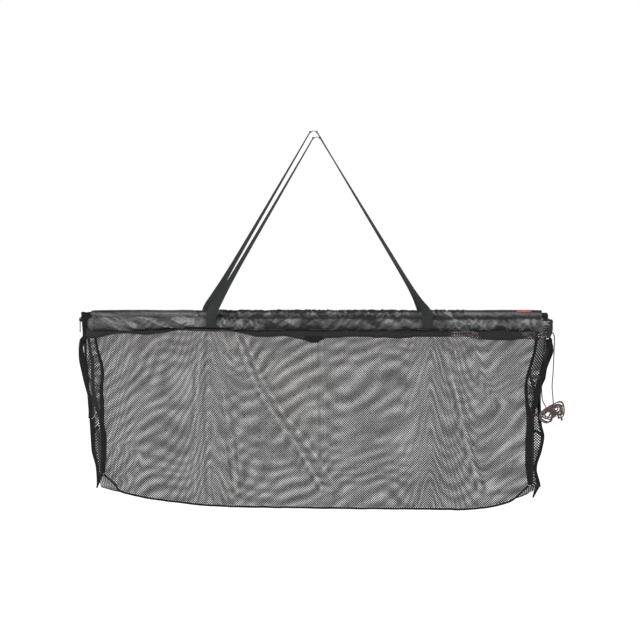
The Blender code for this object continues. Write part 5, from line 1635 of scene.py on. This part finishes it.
def make_gusset_edge(hand_word, hand):
    """The seam along an end net's lower edge."""
    inner_x, inner_z, _ = wing_rows(hand, FRONT_BAR)[-1][0]
    low_x, low_z = WING_LOW[hand]
    start = np.array((hand * inner_x, 0.0, inner_z))
    end = np.array((hand * low_x, 0.0, low_z))
    line = evenly([start, (start + end) / 2 + np.array((0, 0, -0.0015)), end], 0.004)
    made = tube(f"{hand_word}_gusset_edge", line, 0.0013, TAPE, 8)
    settle(made, "binding", "bag", f"{hand_word}_gusset_seam")


def make_bottom_seam():
    """Tape folded round both walls' lower edges, with a row of stitches on each side."""
    line = offset_line(0.0012, 220)
    outer = offset_line(0.0048, 220)
    wobble = 0.0005 * noise(line[:, 0] / 0.02, 0 * line[:, 0], 51.0)

    def beside(route, y, lift=0.0):
        return xyz(route[:, 0], y, route[:, 1] + wobble + lift)

    profile = ((line, -0.0038), (line, -0.0030), (outer, -0.0016),
               (outer, 0.0016), (line, 0.0030), (line, 0.0038))
    points = np.stack([beside(route, y) for route, y in profile], axis=1)
    made = ribbon("bottom_seam_tape", points, 0.0009, TAPE, 60.0)
    settle(made, "binding", "bag", "bottom_seam")
    lines = [beside(line, y, -0.0012) for y in (-0.0042, 0.0042)]
    sew("bottom_stitches", lines, "binding", "bag", pitch=0.0034)


# Straps and trim

TAB_OUTLINE = ((304.0, 336.0), (323.0, 336.0), (322.6, 339.8), (317.2, 342.7), (311.2, 342.8), (304.4, 339.9))
PALE_STITCHES = ((247, 285), (310, 330), (418, 430))    # from and to, across the picture


def strap_half(bar, side, foot_x, turned_soon):
    """One leg of a strap from its foot to the top, with its twist."""
    drop = 0.4726
    top_radius = 0.0128
    foot_y = bar[0] + side * (SLEEVE_RADIUS + GAP + STRAP_THICKNESS / 2)
    top_y = side * 0.0130
    centre_z = bar[1] + drop + STRAP_THICKNESS / 2 - top_radius
    foot_top = bar[1] + (0.0270 if side < 0 else 0.0180)
    foot_low = bar[1] - 0.0090
    rise = centre_z - foot_top
    reach = math.hypot(foot_x, rise)
    lean = math.atan2(foot_x, rise) - math.asin(top_radius / reach)
    half = [(foot_x, foot_y, foot_low + share * (foot_top - foot_low), 0.0) for share in (0.0, 0.5, 0.9)]
    touch_x = top_radius * math.cos(lean)
    touch_z = centre_z + top_radius * math.sin(lean)
    for share in (0.02, 0.05, 0.08, 0.12, 0.17, 0.23, 0.3, 0.4, 0.5, 0.6, 0.7, 0.8, 0.9, 1.0):
        x = foot_x + share * (touch_x - foot_x)
        z = foot_top + share * (touch_z - foot_top)
        early, fast = (0.84, 0.05) if turned_soon else (0.68, 0.09)
        twist = early * (1 - math.exp(-share / fast)) + (0.95 - early) * share
        half.append((x, foot_y + share * (top_y - foot_y), z, twist * math.pi / 2))
    for k in range(1, 4):
        turn = lean + (math.pi / 2 - lean) * k / 3
        half.append((max(top_radius * math.cos(turn), 0.0), top_y, centre_z + top_radius * math.sin(turn),
                     math.pi / 2))
    return half


def strap_line(bar, side):
    """Centre line and twist of a strap from its left foot over its top to the right one."""
    middle = 0.0 if side < 0 else -0.0080
    feet = FRONT_FEET if side < 0 else REAR_FEET
    left = [(middle - x, y, z, twist) for x, y, z, twist in strap_half(bar, side, middle - feet[0], False)]
    right = [(middle + x, y, z, twist) for x, y, z, twist in strap_half(bar, side, feet[1] - middle, True)]
    return smooth_route(left + right[::-1][1:], 0.004)


def make_strap(word, bar, side, body):
    route = strap_line(bar, side)
    places = route[:, :3]
    half = STRAP_WIDTH / 2
    thick = STRAP_THICKNESS / 2
    profile = [(u * half, thick * (1 - 0.55 * abs(u) ** 8)) for u in np.linspace(-1, 1, 9)]
    profile += [(u, -v) for u, v in profile[::-1]]
    points = []
    cloth = []
    for place, along, run, twist in zip(places, directions(places), run_along(places), route[:, 3]):
        depth = np.array((0.0, 1.0, 0.0)) - along * along[1]
        depth /= np.linalg.norm(depth)
        wide = np.cross(along, depth) * math.cos(twist) + depth * math.sin(twist)
        thin = np.cross(along, wide)
        points += [place + wide * u + thin * v for u, v in profile]
        cloth += [(u, run, v) for u, v in profile]
    faces = closed_faces(len(places), len(profile))
    made = add_mesh(word + "_carry_strap", points, faces, WEBBING, cloth, 50.0)
    settle(made, "webbing", body, word + "_strap")
    y = bar[0] + side * (SLEEVE_RADIUS + GAP + STRAP_THICKNESS + 0.0002)
    lines = []
    for foot in (places[0][0], places[-1][0]):
        spots = [(foot + across * BOX_STITCH_HALF, y, bar[1] + (BOX_STITCH_TOP if up else BOX_STITCH_LOW))
                 for across, up in ((-1, 0), (1, 0), (1, 1), (-1, 1), (-1, 0), (1, 1))]
        lines += [[one, two] for one, two in zip(spots[:-1], spots[1:])]
        lines.append([spots[3], spots[1]])
    sew(word + "_strap_stitches", lines, "webbing", body, pitch=0.0026)


def make_end_band():
    """The webbing that closes the front sleeve's right end."""
    start = FRONT_SLEEVE_ENDS[1] - 0.0030
    end = FRONT_SLEEVE_ENDS[1] + 0.0076
    centre = -0.4856
    half_depth = 0.0126
    half_height = 0.0238
    rows = []
    for x, size in ((start, 0.94), (start + 0.001, 1.0), (start + 0.004, 1.0), (end - 0.0022, 0.98),
                    (end - 0.0008, 0.92), (end, 0.80)):
        ring = []
        for turn in np.linspace(0, 2 * math.pi, 28, endpoint=False):
            z = half_height * size * squared(math.sin(turn), 0.35)
            low = float(smooth_step(-z, 0.004, 0.018))
            y = min(half_depth * size * squared(math.cos(turn), 0.55), half_depth - 0.0136 * low)
            ring.append((x + 0.0006 * math.sin(4 * turn) - 0.0046 * low, FRONT_BAR[0] + y,
                         centre + z + 0.0004 * math.sin(5 * turn)))
        rows.append(ring)
    points = np.array(rows)
    faces = closed_faces(*points.shape[:2])
    made = add_mesh("right_end_band", points, faces, WEBBING, cloth_of(points), 50.0)
    settle(made, "webbing", "front_side", "right_end_tape")


def make_hem_tab():
    """The small tab at the middle of the front hem."""
    face = FRONT_BAR[0] - 0.0034
    spots = np.array([at_pixel(px, py, face) for px, py in TAB_OUTLINE])
    middle = spots.mean(axis=0)
    points = []
    for depth, size in ((0.0, 0.97), (-0.0003, 1.0), (-0.0010, 1.0), (-0.0013, 0.95)):
        points += [(x, face + depth, z) for x, z in middle + (spots - middle) * size]
    cloth = [(x, z, 0.0) for x, _, z in points]
    made = add_mesh("front_hem_tab", points, closed_faces(4, len(spots)), TAPE, cloth)
    settle(made, "binding", "front_side", "hem_tab")


def make_red_tag():
    """A plain red tag that lies over the rear sleeve's right end."""
    turns = np.linspace(-38.0, 44.0, 19)
    points = [[on_sleeve(x, REAR_BAR, turn, 0.0005) for turn in turns]
              for x in np.linspace(0.5110, 0.5480, 20)]
    settle(ribbon("rear_red_tag", points, 0.0006, TAG), "tag", "bag", "red_tag")


def make_sleeve_stitches():
    """Rows of stitches low on the sleeves, with a few pale ones that show in the front."""
    along = np.arange(-0.555, 0.560, 0.004)
    for word, bar, angles, body in (("front", FRONT_BAR, (152, 143), "front_side"),
                                    ("rear", REAR_BAR, (-150,), "bag")):
        lines = [[on_sleeve(x, bar, angle, 0.0003) for x in along] for angle in angles]
        sew(word + "_sleeve_stitches", lines, "coated_cloth", body, pitch=0.0032)
    pale = []
    for ends in PALE_STITCHES:
        low, high = [at_pixel(px, 330, -0.03)[0] for px in ends]
        pale.append([on_sleeve(x, FRONT_BAR, 147) for x in np.linspace(low, high, 24)])
    sew("front_sleeve_pale_stitches", pale, "coated_cloth", "front_side", PALE_THREAD,
        pitch=0.0042, share=0.45, radius=0.0005)


def dress_nodes():
    """Materials for the CAD nodes whose shape is right."""
    finishes = {
        "front_rod": ALLOY, "rear_rod": ALLOY,
        "front_rod_plug_left": PLASTIC, "front_rod_plug_right": PLASTIC,
        "rear_rod_plug": PLASTIC, "rear_end_knob": PLASTIC,
        "left_zip_top_stop": PAINTED, "left_zip_slider": PAINTED, "left_zip_puller": PAINTED,
    }
    for node, look in finishes.items():
        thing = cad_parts[node]
        for slot in thing.material_slots:
            slot.material = look


make_cords()
make_sleeve("front_sleeve_cloth", "front_sleeve", "front_side", FRONT_BAR, FRONT_SLEEVE_ENDS,
            FRONT_FEET, front_wrinkles, front_painted_shade, True)
make_sleeve("rear_sleeve_cloth", "rear_sleeve", "bag", REAR_BAR,
            (REAR_SLEEVE_ENDS[0], REAR_SLEEVE_ENDS[1] + REAR_SLEEVE_EXTRA),
            REAR_FEET, rear_wrinkles, rear_painted_shade, False)
make_foam("front_foam_bar", "front_float", "front_side", FRONT_BAR, -0.5631, 0.5764)
make_foam("rear_foam_bar", "rear_float", "rear_float_bar", REAR_BAR, -0.5614, 0.5587)
for word, bar, side, body in (("front", FRONT_BAR, -1, "front_side"), ("rear", REAR_BAR, 1, "bag")):
    make_hem(word, bar, body)
    make_panel(word, bar, side, 3.0 + side)
    make_strap(word, bar, side, body)
    for hand_word, hand in (("left", -1), ("right", 1)):
        make_binding(word, hand_word, hand, bar, side)
        make_wing(word, hand_word, hand, bar, side, 1.0 + hand + 2 * side)
make_zip_teeth()
make_zip_tapes()
make_zip_flap()
for hand_word, hand in (("left", -1), ("right", 1)):
    make_fold_tape(hand_word, hand)
    make_cross_tab(hand_word, hand)
    make_tape_tip(hand_word, hand)
    make_gusset_edge(hand_word, hand)
make_fold_turn()
make_bottom_seam()
make_end_band()
make_hem_tab()
make_red_tag()
make_sleeve_stitches()
dress_nodes()


# Light and floor


def make_light(name, place, size, power, aim=(0.0, 0.0, -0.5)):
    lamp = bpy.data.lights.new(name, "AREA")
    lamp.shape = "RECTANGLE"
    lamp.size, lamp.size_y = size
    lamp.energy = power
    made = bpy.data.objects.new(name, lamp)
    bpy.context.scene.collection.objects.link(made)
    made.location = Vector(place)
    made.rotation_mode = "QUATERNION"
    made.rotation_quaternion = (Vector(aim) - Vector(place)).to_track_quat("-Z", "Y")


def make_stage():
    scene = bpy.context.scene
    scene.view_settings.view_transform = "Standard"
    world = bpy.data.worlds.new("studio")
    scene.world = world
    world.use_nodes = True
    tree = world.node_tree
    back = tree.nodes["Background"]
    rays = tree.nodes.new("ShaderNodeLightPath")
    seen = tree.nodes.new("ShaderNodeMath")
    seen.operation = "MAXIMUM"
    tree.links.new(rays.outputs["Is Camera Ray"], seen.inputs[0])
    tree.links.new(rays.outputs["Is Transmission Ray"], seen.inputs[1])
    level = tree.nodes.new("ShaderNodeMapRange")
    tree.links.new(seen.outputs[0], level.inputs[0])
    level.inputs["To Min"].default_value = 0.20
    level.inputs["To Max"].default_value = 1.0
    tree.links.new(level.outputs[0], back.inputs["Strength"])
    back.inputs["Color"].default_value = (1.0, 1.0, 1.0, 1.0)

    look = Look("floor_look", (0.90, 0.90, 0.90), 0.9, specular=0.1)
    look.colour(look.blend(look.noise(look.place(), 3.0), (0.89, 0.89, 0.89), (0.91, 0.91, 0.91)))
    away = look.node("ShaderNodeVectorMath", look.place(), operation="LENGTH").outputs["Value"]
    seen = look.node("ShaderNodeLightPath").outputs["Is Camera Ray"]
    look.put(look.shader.inputs["Emission Strength"], look.span(away, 1.6, 4.5, 0.74, 0.92) * seen)
    look.shader.inputs["Emission Color"].default_value = (1.0, 1.0, 1.0, 1.0)
    size = 9.0
    corners = [(-size, -size, FLOOR), (size, -size, FLOOR), (size, size, FLOOR), (-size, size, FLOOR)]
    add_mesh("floor", corners, [(0, 1, 2, 3)], look.made)

    make_light("key_light", (-1.5, -2.6, 1.15), (1.4, 1.0), 52.0)
    make_light("fill_light", (2.2, -2.2, 0.5), (1.4, 1.2), 17.0)
    make_light("top_light", (0.3, 0.6, 1.9), (2.2, 1.2), 4.0)
    make_light("back_light", (0.4, 2.6, 0.6), (1.8, 1.4), 12.0)


make_camera()
make_stage()
